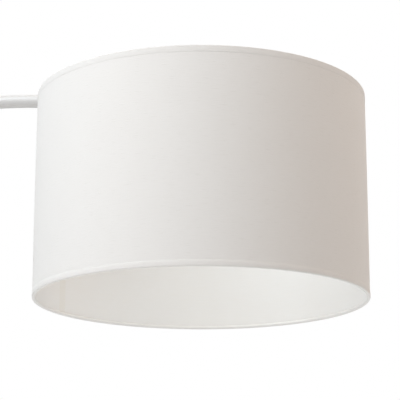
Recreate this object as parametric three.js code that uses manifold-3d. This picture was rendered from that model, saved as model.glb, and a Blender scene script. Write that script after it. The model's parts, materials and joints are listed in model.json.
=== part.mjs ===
// Arc floor lamp: a weighted round base, an upright pole, an arc arm that telescopes and swivels
// in the pole, and a drum shade that hangs from a tilting knuckle at the arm's tip.
//
// Millimetres, +Z up. The origin is the centre of the base's underside, on the pole's axis.
// The arm leans toward +X and lies in the XZ plane.

import * as THREE from 'three';
import { mergeVertices } from 'three/addons/utils/BufferGeometryUtils.js';
import Module from 'manifold-3d';

// ---------------------------------------------------------------- driving dimensions

const GAP = 0.3; // clearance between pieces that touch
const ROUND_SIDES = 16; // facets around a small turned piece
const BASE_SIDES = 36;
const SHADE_SIDES = 48;
const TUBE_SIDES = 12;
const LEAD_SIDES = 8;

// Drum shade
const SHADE_RADIUS = 225;
const SHADE_HEIGHT = 280;
const SHADE_BOTTOM_Z = 1420;
const SHADE_TOP_Z = SHADE_BOTTOM_Z + SHADE_HEIGHT;
const HEM_TAPE = 0.4;
const HEM_HEIGHT = 9.5;
const FABRIC_THICKNESS = 0.4;
const LINING_THICKNESS = 0.4;
const SHEET_GAP = 0.1; // between the shade's layers
const RING_WIRE_RADIUS = 1.3;
const SPIDER_ARM_RADIUS = 1.5;
const SPIDER_ARM_COUNT = 3;
const RING_WIRE_SIDES = 6;
const SPIDER_ARM_SIDES = 10;

// Arc arm
const ARC_RADIUS = 1000;
const ARM_TIP_DROP = THREE.MathUtils.degToRad(20.3); // slope of the arm where its tube ends
const PIVOT_BELOW_RIM = 35.3;
const KNUCKLE_REACH = 25; // from the end of the tube to the tilt pivot
const LOWER_TUBE_RADIUS = 11;
const UPPER_TUBE_RADIUS = 9.5;
const TUBE_WALL = 1.2;
const ARC_JOINT_DEG = 55; // where the lower arc ends and the upper one goes on
const LOWER_ARC_STEPS = 20;
const ARC_STEP_DEG = ARC_JOINT_DEG / LOWER_ARC_STEPS;

// Base and pole
const BASE_RADIUS = 170;
const PAD_RADIUS = 156;
const PAD_THICKNESS = 2;
const COVER_FOOT_Z = 3;
const COVER_EDGE_Z = 28;
const COVER_HUB_RADIUS = 24;
const COVER_HUB_Z = 34;
const COVER_SHEET = 1.2;
const COVER_SHOULDER = 8;
const POLE_RADIUS = 14;
const POLE_WALL = 1.5;
const POLE_TOP_Z = 722;
const LEG_BOTTOM_Z = 320;
const LEAD_RADIUS = 2.5;
const NIPPLE_RADIUS = 6.5;

// Points worked out from the driving dimensions
const ARM_TIP_ANGLE = Math.PI / 2 + ARM_TIP_DROP; // along the arc from the top of the leg
const PIVOT_Z = SHADE_TOP_Z - PIVOT_BELOW_RIM;
const PIVOT_X = ARC_RADIUS * (1 + Math.sin(ARM_TIP_DROP)) + KNUCKLE_REACH * Math.cos(ARM_TIP_DROP);
const ARC_CENTRE_Z = PIVOT_Z + KNUCKLE_REACH * Math.sin(ARM_TIP_DROP) - ARC_RADIUS * Math.cos(ARM_TIP_DROP);
const LOWER_TUBE_BORE = LOWER_TUBE_RADIUS - TUBE_WALL;
const UPPER_TUBE_BORE = UPPER_TUBE_RADIUS - TUBE_WALL;
const POLE_BORE = POLE_RADIUS - POLE_WALL;

// ---------------------------------------------------------------- materials

function finish(color, roughness, metalness = 0) {
  return new THREE.MeshStandardMaterial({ color, roughness, metalness });
}

const whitePaint = finish(0xf2f2f0, 0.42);
const rawSteel = finish(0x9b9da0, 0.4, 1);
const castIron = finish(0x4a4a4c, 0.8, 0.6);
const brass = finish(0xc9a552, 0.3, 1);
const aluminium = finish(0xc8cacc, 0.4, 1);
const whitePlastic = finish(0xededea, 0.45);
const blackRubber = finish(0x1e1e20, 0.8);
const leadSheath = finish(0xe6e6e2, 0.55);
const shadeFabric = finish(0xe9e7e3, 0.9);
const shadeLining = finish(0xf4f3ef, 0.5);
const opalDiffuser = finish(0xf7f6f2, 0.35);
const feltPad = finish(0x2b2b2d, 0.95);
const fibreWasher = finish(0x7a5a3a, 0.8);
const circuitBoard = finish(0xe4e6e0, 0.5);

// ---------------------------------------------------------------- geometry helpers

const wasm = await Module();
wasm.setup();

// A piece turned about +Z from [radius, height] points, in either direction round its section.
// A profile that starts off the axis is closed.
function turned(profile, sides = ROUND_SIDES) {
  const points = profile.map(([radius, height]) => new THREE.Vector2(radius, height));
  if (THREE.ShapeUtils.area(points) < 0) {
    points.reverse();
  }
  if (points[0].x > 0) {
    points.push(points[0].clone());
  }
  const geometry = new THREE.LatheGeometry(points, sides);
  geometry.rotateX(Math.PI / 2);
  return geometry;
}

// A plain ring, tube or washer between two radii and two heights.
function ring(innerRadius, outerRadius, bottom, top, sides = ROUND_SIDES) {
  const profile = [
    [innerRadius, bottom],
    [outerRadius, bottom],
    [outerRadius, top],
    [innerRadius, top],
  ];
  return turned(profile, sides);
}

// A solid round bar.
function bar(radius, bottom, top, sides = ROUND_SIDES) {
  const profile = [
    [0, bottom],
    [radius, bottom],
    [radius, top],
    [0, top],
  ];
  return turned(profile, sides);
}

// A ring of round wire.
function wireRing(ringRadius, wireRadius, height, wireSides, sides) {
  const profile = [];
  for (let i = 0; i < wireSides; i += 1) {
    const angle = (2 * Math.PI * (i + 0.5)) / wireSides;
    profile.push([ringRadius + wireRadius * Math.cos(angle), height + wireRadius * Math.sin(angle)]);
  }
  return turned(profile, sides);
}

// A hexagon nut with a clear round hole.
function hexNut(acrossFlats, holeRadius, bottom, top) {
  const outline = new THREE.Shape(polygon(acrossFlats / Math.sqrt(3), 6));
  outline.holes.push(new THREE.Path(polygon(holeRadius, ROUND_SIDES)));
  const geometry = new THREE.ExtrudeGeometry(outline, { depth: top - bottom, bevelEnabled: false });
  geometry.translate(0, 0, bottom);
  return geometry;
}

function polygon(radius, sides) {
  const points = [];
  for (let i = 0; i < sides; i += 1) {
    const angle = (2 * Math.PI * i) / sides;
    points.push(new THREE.Vector2(radius * Math.cos(angle), radius * Math.sin(angle)));
  }
  return points;
}

// A tube, or a solid rod when it has no bore, along a curve.
function sweep(curve, steps, radius, bore = 0, sides = TUBE_SIDES) {
  const section = new THREE.Shape(polygon(radius, sides));
  if (bore > 0) {
    section.holes.push(new THREE.Path(polygon(bore, sides)));
  }
  return new THREE.ExtrudeGeometry(section, { steps, extrudePath: curve, bevelEnabled: false });
}

function box(width, depth, height, x, y, z) {
  const geometry = new THREE.BoxGeometry(width, depth, height);
  geometry.translate(x, y, z);
  return geometry;
}

function toSolid(geometry) {
  const bare = geometry.clone();
  bare.deleteAttribute('normal');
  bare.deleteAttribute('uv');
  const merged = mergeVertices(bare, 1e-3);
  return new wasm.Manifold(new wasm.Mesh({
    numProp: 3,
    vertProperties: merged.attributes.position.array,
    triVerts: new Uint32Array(merged.index.array),
  }));
}

function toGeometry(solid) {
  const mesh = solid.getMesh();
  const geometry = new THREE.BufferGeometry();
  geometry.setAttribute('position', new THREE.BufferAttribute(mesh.vertProperties, 3));
  geometry.setIndex(new THREE.BufferAttribute(mesh.triVerts, 1));
  geometry.computeVertexNormals();
  return geometry;
}

function joined(...geometries) {
  return toGeometry(geometries.map(toSolid).reduce((whole, piece) => whole.add(piece)));
}

function cut(geometry, ...tools) {
  return toGeometry(tools.map(toSolid).reduce((rest, tool) => rest.subtract(tool), toSolid(geometry)));
}

// Turns a geometry made about +Z so that its axis lies along +Y or -X.
function alongY(geometry) {
  return geometry.rotateX(-Math.PI / 2);
}

function alongMinusX(geometry) {
  return geometry.rotateY(-Math.PI / 2);
}

// ---------------------------------------------------------------- the arm's centre line

// Part of the circular arc. An angle of 0 is the top of the leg, and 90 degrees the top of the arc.
class ArmArc extends THREE.Curve {
  constructor(startAngle, endAngle) {
    super();
    this.startAngle = startAngle;
    this.endAngle = endAngle;
  }

  getPoint(t, target = new THREE.Vector3()) {
    const angle = THREE.MathUtils.lerp(this.startAngle, this.endAngle, t);
    const x = ARC_RADIUS * (1 - Math.cos(angle));
    const z = ARC_CENTRE_Z + ARC_RADIUS * Math.sin(angle);
    return target.set(x, 0, z);
  }
}

function arcDegrees(startDeg, endDeg) {
  return new ArmArc(THREE.MathUtils.degToRad(startDeg), THREE.MathUtils.degToRad(endDeg));
}

// A rod through the arm's wall, square to it, from the inside of the bend.
function rodThroughArm(angleDeg, radius, nearDistance, farDistance, sides) {
  const angle = THREE.MathUtils.degToRad(angleDeg);
  const geometry = bar(radius, -farDistance, -nearDistance, sides);
  geometry.rotateY(angle - Math.PI / 2);
  const centre = new ArmArc(angle, angle).getPoint(0);
  geometry.translate(centre.x, centre.y, centre.z);
  return geometry;
}

// ---------------------------------------------------------------- base

const GROMMET_Z = 8;
const GROMMET_HOLE_RADIUS = 5;
const COUNTERBORE_RADIUS = 22;
const COUNTERBORE_TOP = 24.6;
const NIPPLE_BOTTOM = 15;
const NIPPLE_TOP = 56;
const NIPPLE_BORE = 4;
const BASE_NUT_FLATS = 19;
const BASE_NUT_HEIGHT = 6;
const BASE_NUT_TOP = NIPPLE_BOTTOM + 6.5;
const BASE_WASHER_RADIUS = 18;
const WEIGHT_RADIUS = 160;
const WEIGHT_BOTTOM = PAD_THICKNESS + GAP;
const LEAD_CHANNEL_WIDTH = 10;
const LEAD_CHANNEL_TOP = 12;

function basePad() {
  return bar(PAD_RADIUS, 0, PAD_THICKNESS, BASE_SIDES);
}

function baseWeight() {
  const edgeTop = COVER_EDGE_Z - COVER_SHEET - GAP;
  const bossTop = COVER_HUB_Z - COVER_SHEET - 2 * GAP;
  const holeRadius = NIPPLE_RADIUS + GAP;
  const chamfer = 5;
  const bossFootRadius = COVER_HUB_RADIUS + 18;
  const bossTopRadius = COVER_HUB_RADIUS + 6;
  const profile = [
    [holeRadius, COUNTERBORE_TOP],
    [COUNTERBORE_RADIUS, COUNTERBORE_TOP],
    [COUNTERBORE_RADIUS, WEIGHT_BOTTOM],
    [WEIGHT_RADIUS, WEIGHT_BOTTOM],
    [WEIGHT_RADIUS, edgeTop - chamfer],
    [WEIGHT_RADIUS - chamfer, edgeTop],
    [bossFootRadius, edgeTop],
    [bossTopRadius, bossTop],
    [holeRadius, bossTop],
  ];
  const channelHeight = LEAD_CHANNEL_TOP - WEIGHT_BOTTOM;
  const channel = box(
    WEIGHT_RADIUS,
    LEAD_CHANNEL_WIDTH,
    channelHeight * 2,
    -WEIGHT_RADIUS / 2 - COUNTERBORE_RADIUS / 2,
    0,
    WEIGHT_BOTTOM,
  );
  return cut(turned(profile, BASE_SIDES), channel);
}

// Half of the cover's section: the foot of its skirt, its rounded shoulder and its low cone.
function coverOutline(inset) {
  const outline = [[BASE_RADIUS - inset, COVER_FOOT_Z]];
  const shoulderSteps = 3;
  for (let i = 0; i <= shoulderSteps; i += 1) {
    const angle = (Math.PI / 2) * (i / shoulderSteps);
    outline.push([
      BASE_RADIUS - COVER_SHOULDER + (COVER_SHOULDER - inset) * Math.cos(angle),
      COVER_EDGE_Z - COVER_SHOULDER + (COVER_SHOULDER - inset) * Math.sin(angle),
    ]);
  }
  outline.push([COVER_HUB_RADIUS, COVER_HUB_Z - inset]);
  outline.push([NIPPLE_RADIUS + GAP, COVER_HUB_Z - inset]);
  return outline;
}

function baseCover() {
  const profile = [...coverOutline(0), ...coverOutline(COVER_SHEET).reverse()];
  const reach = 10; // of the hole's cutter on each side of the skirt
  const grommetHole = alongMinusX(bar(GROMMET_HOLE_RADIUS, BASE_RADIUS - reach, BASE_RADIUS + reach));
  grommetHole.translate(0, 0, GROMMET_Z);
  return cut(turned(profile, BASE_SIDES), grommetHole);
}

// A rubber grommet: two flanges with the cover's wall between them.
function cableGrommet() {
  const flange = 1.6;
  const wallInside = BASE_RADIUS - COVER_SHEET - 2 * GAP;
  const wallOutside = BASE_RADIUS + GAP;
  const flangeRadius = GROMMET_HOLE_RADIUS + 1.4;
  const neckRadius = GROMMET_HOLE_RADIUS - GAP;
  const boreRadius = LEAD_RADIUS + GAP;
  const profile = [
    [boreRadius, wallInside - flange],
    [flangeRadius, wallInside - flange],
    [flangeRadius, wallInside],
    [neckRadius, wallInside],
    [neckRadius, wallOutside],
    [flangeRadius, wallOutside],
    [flangeRadius - 1, wallOutside + flange],
    [boreRadius, wallOutside + flange],
  ];
  return alongMinusX(turned(profile, TUBE_SIDES)).translate(0, 0, GROMMET_Z);
}

function baseNipple() {
  return ring(NIPPLE_BORE, NIPPLE_RADIUS, NIPPLE_BOTTOM, NIPPLE_TOP);
}

function baseNut() {
  return hexNut(BASE_NUT_FLATS, NIPPLE_RADIUS + GAP, BASE_NUT_TOP - BASE_NUT_HEIGHT, BASE_NUT_TOP);
}

function baseWasher() {
  return ring(NIPPLE_RADIUS + GAP, BASE_WASHER_RADIUS, BASE_NUT_TOP + GAP, COUNTERBORE_TOP - GAP);
}

// ---------------------------------------------------------------- pole

const CLAMP_Z = 708;
const CLAMP_SCREW_RADIUS = 4;
const CLAMP_BOSS_END = POLE_RADIUS + 15; // distances from the pole's axis
const CLAMP_KNOB_START = CLAMP_BOSS_END + 1;
const CLAMP_SCREW_END = CLAMP_KNOB_START + 14;
const BUSH_FLANGE_TOP = POLE_TOP_Z + GAP + 2.7;
const COLLAR_TOP = BUSH_FLANGE_TOP + GAP + 4;

function footCollar() {
  const bottom = COVER_HUB_Z + GAP;
  const rimTop = bottom + 3;
  const coneTop = bottom + 10;
  const top = bottom + 14;
  const neckRadius = POLE_RADIUS + 4;
  const profile = [
    [POLE_RADIUS + GAP, bottom],
    [COVER_HUB_RADIUS, bottom],
    [COVER_HUB_RADIUS, rimTop],
    [neckRadius, coneTop],
    [neckRadius - 1, top],
    [POLE_RADIUS + GAP, top],
  ];
  return turned(profile, ROUND_SIDES);
}

// The threaded plug welded in the foot of the pole, which the base nipple screws into.
function poleFoot() {
  const top = 70;
  const profile = [
    [NIPPLE_RADIUS + GAP, COVER_HUB_Z + GAP],
    [POLE_BORE - GAP, COVER_HUB_Z + GAP],
    [POLE_BORE - GAP, top],
    [NIPPLE_BORE, top],
    [NIPPLE_BORE, NIPPLE_TOP + GAP],
    [NIPPLE_RADIUS + GAP, NIPPLE_TOP + GAP],
  ];
  return turned(profile);
}

// The cutter for the clamp screw's hole, from inside the leg's bush out past the boss.
function clampHole() {
  const inside = LOWER_TUBE_RADIUS - 3;
  const outside = CLAMP_SCREW_END + 10;
  const hole = bar(CLAMP_SCREW_RADIUS + GAP, inside, outside, TUBE_SIDES);
  return alongMinusX(hole).translate(0, 0, CLAMP_Z);
}

function pole() {
  const tube = ring(POLE_BORE, POLE_RADIUS, COVER_HUB_Z + GAP, POLE_TOP_Z);
  return cut(tube, clampHole());
}

// A flanged nylon bush that the leg slides and turns in.
function poleTopBush() {
  const boreRadius = LOWER_TUBE_RADIUS + GAP;
  const bottom = POLE_TOP_Z - 60;
  const profile = [
    [boreRadius, bottom],
    [POLE_BORE - GAP, bottom],
    [POLE_BORE - GAP, POLE_TOP_Z + GAP],
    [POLE_RADIUS, POLE_TOP_Z + GAP],
    [POLE_RADIUS, BUSH_FLANGE_TOP],
    [boreRadius, BUSH_FLANGE_TOP],
  ];
  return cut(turned(profile), clampHole());
}

// The clamp collar caps the pole, and its boss carries the clamp screw.
function clampCollar() {
  const outerRadius = POLE_RADIUS + 5;
  const boreRadius = POLE_RADIUS + GAP;
  const mouthRadius = LOWER_TUBE_RADIUS + 2 * GAP;
  const bottom = CLAMP_Z - 18;
  const boreTop = BUSH_FLANGE_TOP + GAP;
  const bottomChamfer = 1.5;
  const topChamfer = 3;
  const profile = [
    [boreRadius, bottom],
    [outerRadius - bottomChamfer, bottom],
    [outerRadius, bottom + bottomChamfer],
    [outerRadius, COLLAR_TOP - topChamfer],
    [outerRadius - topChamfer, COLLAR_TOP],
    [mouthRadius, COLLAR_TOP],
    [mouthRadius, boreTop],
    [boreRadius, boreTop],
  ];
  const bossRadius = 9;
  const boss = alongMinusX(bar(bossRadius, POLE_RADIUS + 1, CLAMP_BOSS_END, TUBE_SIDES));
  boss.translate(0, 0, CLAMP_Z);
  const poleBore = bar(boreRadius, bottom - 2, boreTop);
  return cut(joined(turned(profile), boss), poleBore, clampHole());
}

function clampScrew() {
  const tip = LOWER_TUBE_RADIUS + GAP;
  const profile = [
    [0, tip],
    [CLAMP_SCREW_RADIUS - 1, tip],
    [CLAMP_SCREW_RADIUS, tip + 1],
    [CLAMP_SCREW_RADIUS, CLAMP_SCREW_END],
    [0, CLAMP_SCREW_END],
  ];
  return alongMinusX(turned(profile, TUBE_SIDES)).translate(0, 0, CLAMP_Z);
}

// A round grip with a blind hole for its screw. The open end of the hole faces the low end.
function gripKnob(radius, bottom, length, holeRadius, holeDepth) {
  const bossRadius = radius * 0.6;
  const bossTop = bottom + 3;
  const top = bottom + length;
  const chamfer = 2;
  const profile = [
    [0, bottom + holeDepth],
    [holeRadius, bottom + holeDepth],
    [holeRadius, bottom],
    [bossRadius, bottom],
    [bossRadius, bossTop],
    [radius, bossTop + 1],
    [radius, top - chamfer],
    [radius - chamfer, top],
    [0, top],
  ];
  return turned(profile);
}

function clampKnob() {
  const radius = 16;
  const length = 18;
  const holeDepth = CLAMP_SCREW_END - CLAMP_KNOB_START + GAP;
  const knob = gripKnob(radius, CLAMP_KNOB_START, length, CLAMP_SCREW_RADIUS + GAP, holeDepth);
  return alongMinusX(knob).translate(0, 0, CLAMP_Z);
}

// The supply lead runs from the grommet through the weight's channel, bends and goes up the pole.
class PoleLeadRoute extends THREE.Curve {
  constructor(startX, bendRadius, topZ) {
    super();
    const bendStart = new THREE.Vector3(-bendRadius, 0, GROMMET_Z);
    const bendCorner = new THREE.Vector3(0, 0, GROMMET_Z);
    const bendEnd = new THREE.Vector3(0, 0, GROMMET_Z + bendRadius);
    this.stretches = [
      new THREE.LineCurve3(new THREE.Vector3(startX, 0, GROMMET_Z), bendStart),
      new THREE.QuadraticBezierCurve3(bendStart, bendCorner, bendEnd),
      new THREE.LineCurve3(bendEnd, new THREE.Vector3(0, 0, topZ)),
    ];
  }

  getPoint(t, target = new THREE.Vector3()) {
    const place = Math.min(t * this.stretches.length, this.stretches.length - 1e-9);
    const index = Math.floor(place);
    return this.stretches[index].getPoint(place - index, target);
  }

  // Each stretch gets the same number of steps, whatever its length.
  getUtoTmapping(u) {
    return u;
  }
}

function poleLead() {
  const bendRadius = 12;
  const route = new PoleLeadRoute(-WEIGHT_RADIUS - 4, bendRadius, LEG_BOTTOM_Z - 20);
  const stepsPerStretch = 6;
  return sweep(route, route.stretches.length * stepsPerStretch, LEAD_RADIUS, 0, LEAD_SIDES);
}

// ---------------------------------------------------------------- leg and arc

// The glide bush slides in the pole. The leg stands on its flange and turns on its spigot.
function legGlideBush() {
  const boreRadius = LEAD_RADIUS + 2;
  const flangeBottom = LEG_BOTTOM_Z - 8;
  const spigotTop = LEG_BOTTOM_Z + 25;
  const profile = [
    [boreRadius, flangeBottom],
    [POLE_BORE - GAP, flangeBottom],
    [POLE_BORE - GAP, LEG_BOTTOM_Z],
    [LOWER_TUBE_BORE - GAP, LEG_BOTTOM_Z],
    [LOWER_TUBE_BORE - GAP, spigotTop],
    [boreRadius, spigotTop],
  ];
  return turned(profile);
}

function legTube() {
  const half = GAP / 2;
  return ring(LOWER_TUBE_BORE, LOWER_TUBE_RADIUS, LEG_BOTTOM_Z + GAP, ARC_CENTRE_Z - half);
}

// A sleeve inside the joint of the leg and the lower arc.
function legCoupler() {
  const outerRadius = LOWER_TUBE_BORE - 1;
  const wall = 1.5;
  const lengthInLeg = 60;
  const lengthInArc = 20;
  return ring(outerRadius - wall, outerRadius, ARC_CENTRE_Z - lengthInLeg, ARC_CENTRE_Z + lengthInArc);
}

const JOINT_SCREW_RADIUS = 2;
const JOINT_SCREW_SIDES = 12;
const LEG_SCREW_DEG = 0.55;
const ARC_SCREW_DEG = ARC_JOINT_DEG - 1;

function lowerArc() {
  const startDeg = THREE.MathUtils.radToDeg(GAP / 2 / ARC_RADIUS);
  const route = arcDegrees(startDeg, ARC_JOINT_DEG);
  const tube = sweep(route, LOWER_ARC_STEPS, LOWER_TUBE_RADIUS, LOWER_TUBE_BORE);
  const holeStart = LOWER_TUBE_BORE - 4.8; // distances from the arm's centre line
  const holeEnd = LOWER_TUBE_RADIUS + 4;
  const holes = [LEG_SCREW_DEG, ARC_SCREW_DEG].map((angleDeg) => (
    rodThroughArm(angleDeg, JOINT_SCREW_RADIUS + GAP, holeStart, holeEnd, JOINT_SCREW_SIDES)
  ));
  return cut(tube, ...holes);
}

function jointScrew(angleDeg, tipDistance) {
  return rodThroughArm(angleDeg, JOINT_SCREW_RADIUS, tipDistance, LOWER_TUBE_RADIUS, JOINT_SCREW_SIDES);
}

// The upper arc starts one step inside the lower one.
function upperArc() {
  const startDeg = ARC_JOINT_DEG - ARC_STEP_DEG;
  const endDeg = THREE.MathUtils.radToDeg(ARM_TIP_ANGLE);
  const steps = Math.round((endDeg - startDeg) / ARC_STEP_DEG);
  return sweep(arcDegrees(startDeg, endDeg), steps, UPPER_TUBE_RADIUS, UPPER_TUBE_BORE);
}

// A trim ring that covers the step between the two arc tubes.
function arcJointRing() {
  const startDeg = ARC_JOINT_DEG + 0.02;
  const lengthDeg = 0.5;
  return sweep(arcDegrees(startDeg, startDeg + lengthDeg), 1, LOWER_TUBE_RADIUS + 1, UPPER_TUBE_RADIUS + GAP);
}

// The arm's share of the lead, from the glide bush to the arm's tip.
class ArmLeadRoute extends THREE.Curve {
  constructor(bottomZ, endAngle) {
    super();
    this.bottomZ = bottomZ;
    this.straight = ARC_CENTRE_Z - bottomZ;
    this.total = this.straight + endAngle * ARC_RADIUS;
  }

  getPoint(t, target = new THREE.Vector3()) {
    const travelled = t * this.total;
    if (travelled < this.straight) {
      return target.set(0, 0, this.bottomZ + travelled);
    }
    const angle = (travelled - this.straight) / ARC_RADIUS;
    return new ArmArc(angle, angle).getPoint(0, target);
  }
}

function armLead() {
  const lengthShortOfTip = 24;
  const steps = 40;
  const route = new ArmLeadRoute(LEG_BOTTOM_Z + 2, ARM_TIP_ANGLE - lengthShortOfTip / ARC_RADIUS);
  return sweep(route, steps, LEAD_RADIUS, 0, LEAD_SIDES);
}

// ---------------------------------------------------------------- knuckle, in the arm tip's own axes
// +Z runs on along the arm, +Y is the tilt axis and the origin is the pivot.

const DISC_RADIUS = 13;
const DISC_INNER_Y = 0.8;
const DISC_OUTER_Y = 7.8;
const STUD_RADIUS = 5;
const PIVOT_BOLT_RADIUS = 3;
const NECK_RADIUS = 9;
const NECK_START = DISC_RADIUS + 2 * GAP;

function armEndPlug() {
  const boreRadius = STUD_RADIUS + GAP;
  const insideRadius = UPPER_TUBE_BORE - 0.7;
  const tubeEnd = -KNUCKLE_REACH;
  const plugStart = tubeEnd - 16;
  const flangeEnd = tubeEnd + 2.5;
  const profile = [
    [boreRadius, plugStart],
    [insideRadius, plugStart],
    [insideRadius, tubeEnd + GAP],
    [UPPER_TUBE_RADIUS, tubeEnd + GAP],
    [UPPER_TUBE_RADIUS, flangeEnd],
    [boreRadius, flangeEnd],
  ];
  return turned(profile, TUBE_SIDES);
}

// One half of the knuckle: a disc beside the arm's middle plane, a web and a round neck.
// side is -1 or +1 along Y, and the neck runs from the pivot toward -Z, to neckEnd.
function knuckleHalf(side, neckEnd) {
  const middleY = (DISC_INNER_Y + DISC_OUTER_Y) / 2;
  const thickness = DISC_OUTER_Y - DISC_INNER_Y;
  const disc = alongY(bar(DISC_RADIUS, -thickness / 2, thickness / 2)).translate(0, side * middleY, 0);
  const webLength = NECK_START + 4;
  const web = box(2 * NECK_RADIUS - 4, thickness, webLength, 0, side * middleY, -webLength / 2);
  const neck = bar(NECK_RADIUS, neckEnd, -NECK_START);
  const hole = alongY(bar(PIVOT_BOLT_RADIUS + GAP, -20, 20, TUBE_SIDES));
  return cut(joined(disc, web, neck), hole);
}

function knuckleUpper() {
  const neckEnd = -KNUCKLE_REACH + 2.8;
  const stud = bar(STUD_RADIUS, neckEnd - 17, neckEnd + 1);
  const leadBore = bar(LEAD_RADIUS + GAP, neckEnd - 20, -NECK_START - 2, TUBE_SIDES);
  return cut(joined(knuckleHalf(-1, neckEnd), stud), leadBore);
}

const LOWER_NECK_END = -24;

function knuckleLower() {
  const nippleHole = bar(STUD_RADIUS + GAP, LOWER_NECK_END - 1, -NECK_START - 2);
  return cut(knuckleHalf(1, LOWER_NECK_END), nippleHole);
}

function frictionWasher() {
  const halfThickness = DISC_INNER_Y - GAP;
  return alongY(ring(PIVOT_BOLT_RADIUS + GAP, DISC_RADIUS - 1, -halfThickness, halfThickness));
}

function pivotBolt() {
  const headRadius = 5;
  const headInside = -DISC_OUTER_Y - GAP;
  const headOutside = headInside - 4.5;
  const end = 18;
  const profile = [
    [0, headOutside],
    [headRadius, headOutside],
    [headRadius, headInside],
    [PIVOT_BOLT_RADIUS, headInside],
    [PIVOT_BOLT_RADIUS, end],
    [0, end],
  ];
  return alongY(turned(profile, TUBE_SIDES));
}

function tiltKnob() {
  const radius = 11;
  const length = 14;
  const holeDepth = 11;
  return alongY(gripKnob(radius, DISC_OUTER_Y + GAP, length, PIVOT_BOLT_RADIUS + GAP, holeDepth));
}

// ---------------------------------------------------------------- lamp holder, below the pivot

const CAP_TOP = LOWER_NECK_END - GAP;
const CAP_RADIUS = 20.5;
const CAP_WALL = 2;
const CAP_BOTTOM = CAP_TOP - 17.7;
const SHOULDER_BOTTOM = CAP_BOTTOM - 8;
const SKIRT_RADIUS = 19.7; // threaded for the shade ring
const SKIRT_BORE = 16.3;
const SKIRT_BOTTOM = SHOULDER_BOTTOM - 36;
const HUB_PLATE_TOP = SHOULDER_BOTTOM - GAP;
const HUB_PLATE_BOTTOM = HUB_PLATE_TOP - 2;
const HUB_PLATE_RADIUS = 29;

function holderNipple() {
  return ring(LEAD_RADIUS + GAP, STUD_RADIUS, CAP_TOP - 9, LOWER_NECK_END + 8);
}

function holderCap() {
  const holeRadius = STUD_RADIUS + GAP;
  const flatRadius = 12;
  const shoulderRadius = 18;
  const shoulderZ = CAP_TOP - 4;
  const sideTop = CAP_TOP - 10;
  const profile = [
    [holeRadius, CAP_TOP],
    [flatRadius, CAP_TOP],
    [shoulderRadius, shoulderZ],
    [CAP_RADIUS, sideTop],
    [CAP_RADIUS, CAP_BOTTOM],
    [CAP_RADIUS - CAP_WALL, CAP_BOTTOM],
    [CAP_RADIUS - CAP_WALL, sideTop - CAP_WALL / 4],
    [shoulderRadius - CAP_WALL, shoulderZ - (3 * CAP_WALL) / 4],
    [flatRadius - CAP_WALL / 2, CAP_TOP - CAP_WALL],
    [holeRadius, CAP_TOP - CAP_WALL],
  ];
  return turned(profile);
}

function nippleNut() {
  const flats = 14;
  const height = 3.5;
  const top = CAP_TOP - CAP_WALL - GAP;
  return hexNut(flats, STUD_RADIUS + GAP, top - height, top);
}

function holderBody() {
  const shoulderRadius = CAP_RADIUS + 3.5;
  const profile = [
    [SKIRT_BORE, CAP_BOTTOM - GAP],
    [CAP_RADIUS, CAP_BOTTOM - GAP],
    [CAP_RADIUS, CAP_BOTTOM - 4],
    [shoulderRadius, CAP_BOTTOM - 5.5],
    [shoulderRadius, SHOULDER_BOTTOM],
    [SKIRT_RADIUS, SHOULDER_BOTTOM],
    [SKIRT_RADIUS, SKIRT_BOTTOM],
    [SKIRT_BORE, SKIRT_BOTTOM],
  ];
  return turned(profile);
}

const INSERT_TOP = CAP_BOTTOM + 2;
const INSERT_BOTTOM = CAP_BOTTOM - 10;
const SHELL_RADIUS = 14.4;
const SHELL_BORE = 13.6;
const SHELL_BOTTOM = INSERT_BOTTOM - 30;

// The insulating core that carries the contacts, with a bore for the wires.
function holderInsert() {
  const boreRadius = 4;
  return ring(boreRadius, SKIRT_BORE - GAP, INSERT_BOTTOM, INSERT_TOP);
}

function holderShell() {
  return ring(SHELL_BORE, SHELL_RADIUS, SHELL_BOTTOM, INSERT_BOTTOM - GAP);
}

function centreContact() {
  const length = 12;
  const width = 5;
  const thickness = 0.6;
  return box(length, width, thickness, 0, 0, INSERT_BOTTOM - GAP - thickness / 2);
}

function shadeRingNut() {
  const top = HUB_PLATE_BOTTOM - GAP;
  const rimBottom = top - 2;
  const bottom = top - 8;
  const rimRadius = HUB_PLATE_RADIUS - 1;
  const profile = [
    [SKIRT_RADIUS + GAP, top],
    [rimRadius, top],
    [rimRadius, rimBottom],
    [rimRadius - 3, bottom],
    [SKIRT_RADIUS + GAP, bottom],
  ];
  return turned(profile);
}

function headLead() {
  const route = new THREE.LineCurve3(
    new THREE.Vector3(0, 0, INSERT_TOP + 1),
    new THREE.Vector3(0, 0, LOWER_NECK_END + 7.5),
  );
  return sweep(route, 2, LEAD_RADIUS, 0, LEAD_SIDES);
}

// ---------------------------------------------------------------- bulb

const BULB_CONTACT_TOP = INSERT_BOTTOM - 1.8;
const BULB_CAP_TOP = BULB_CONTACT_TOP - 3;
const BULB_CAP_BOTTOM = BULB_CAP_TOP - 24;
const BULB_CAP_RADIUS = 13;
const BULB_RADIUS = 30;
const BULB_LENGTH = 110;
const DOME_CENTRE = BULB_CONTACT_TOP - BULB_LENGTH + BULB_RADIUS;
const DOME_EDGE_ANGLE = THREE.MathUtils.degToRad(25); // above the dome's widest ring
const DOME_EDGE = DOME_CENTRE + BULB_RADIUS * Math.sin(DOME_EDGE_ANGLE);
const DOME_WALL = 1.2;
const LED_BOARD_TOP = DOME_EDGE + 3;
const BOARD_THICKNESS = 1.6;

function bulbContact() {
  const profile = [
    [0, BULB_CONTACT_TOP - 2.5],
    [3, BULB_CONTACT_TOP - 2.5],
    [4.5, BULB_CONTACT_TOP - 1],
    [3.5, BULB_CONTACT_TOP],
    [0, BULB_CONTACT_TOP],
  ];
  return turned(profile, TUBE_SIDES);
}

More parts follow.
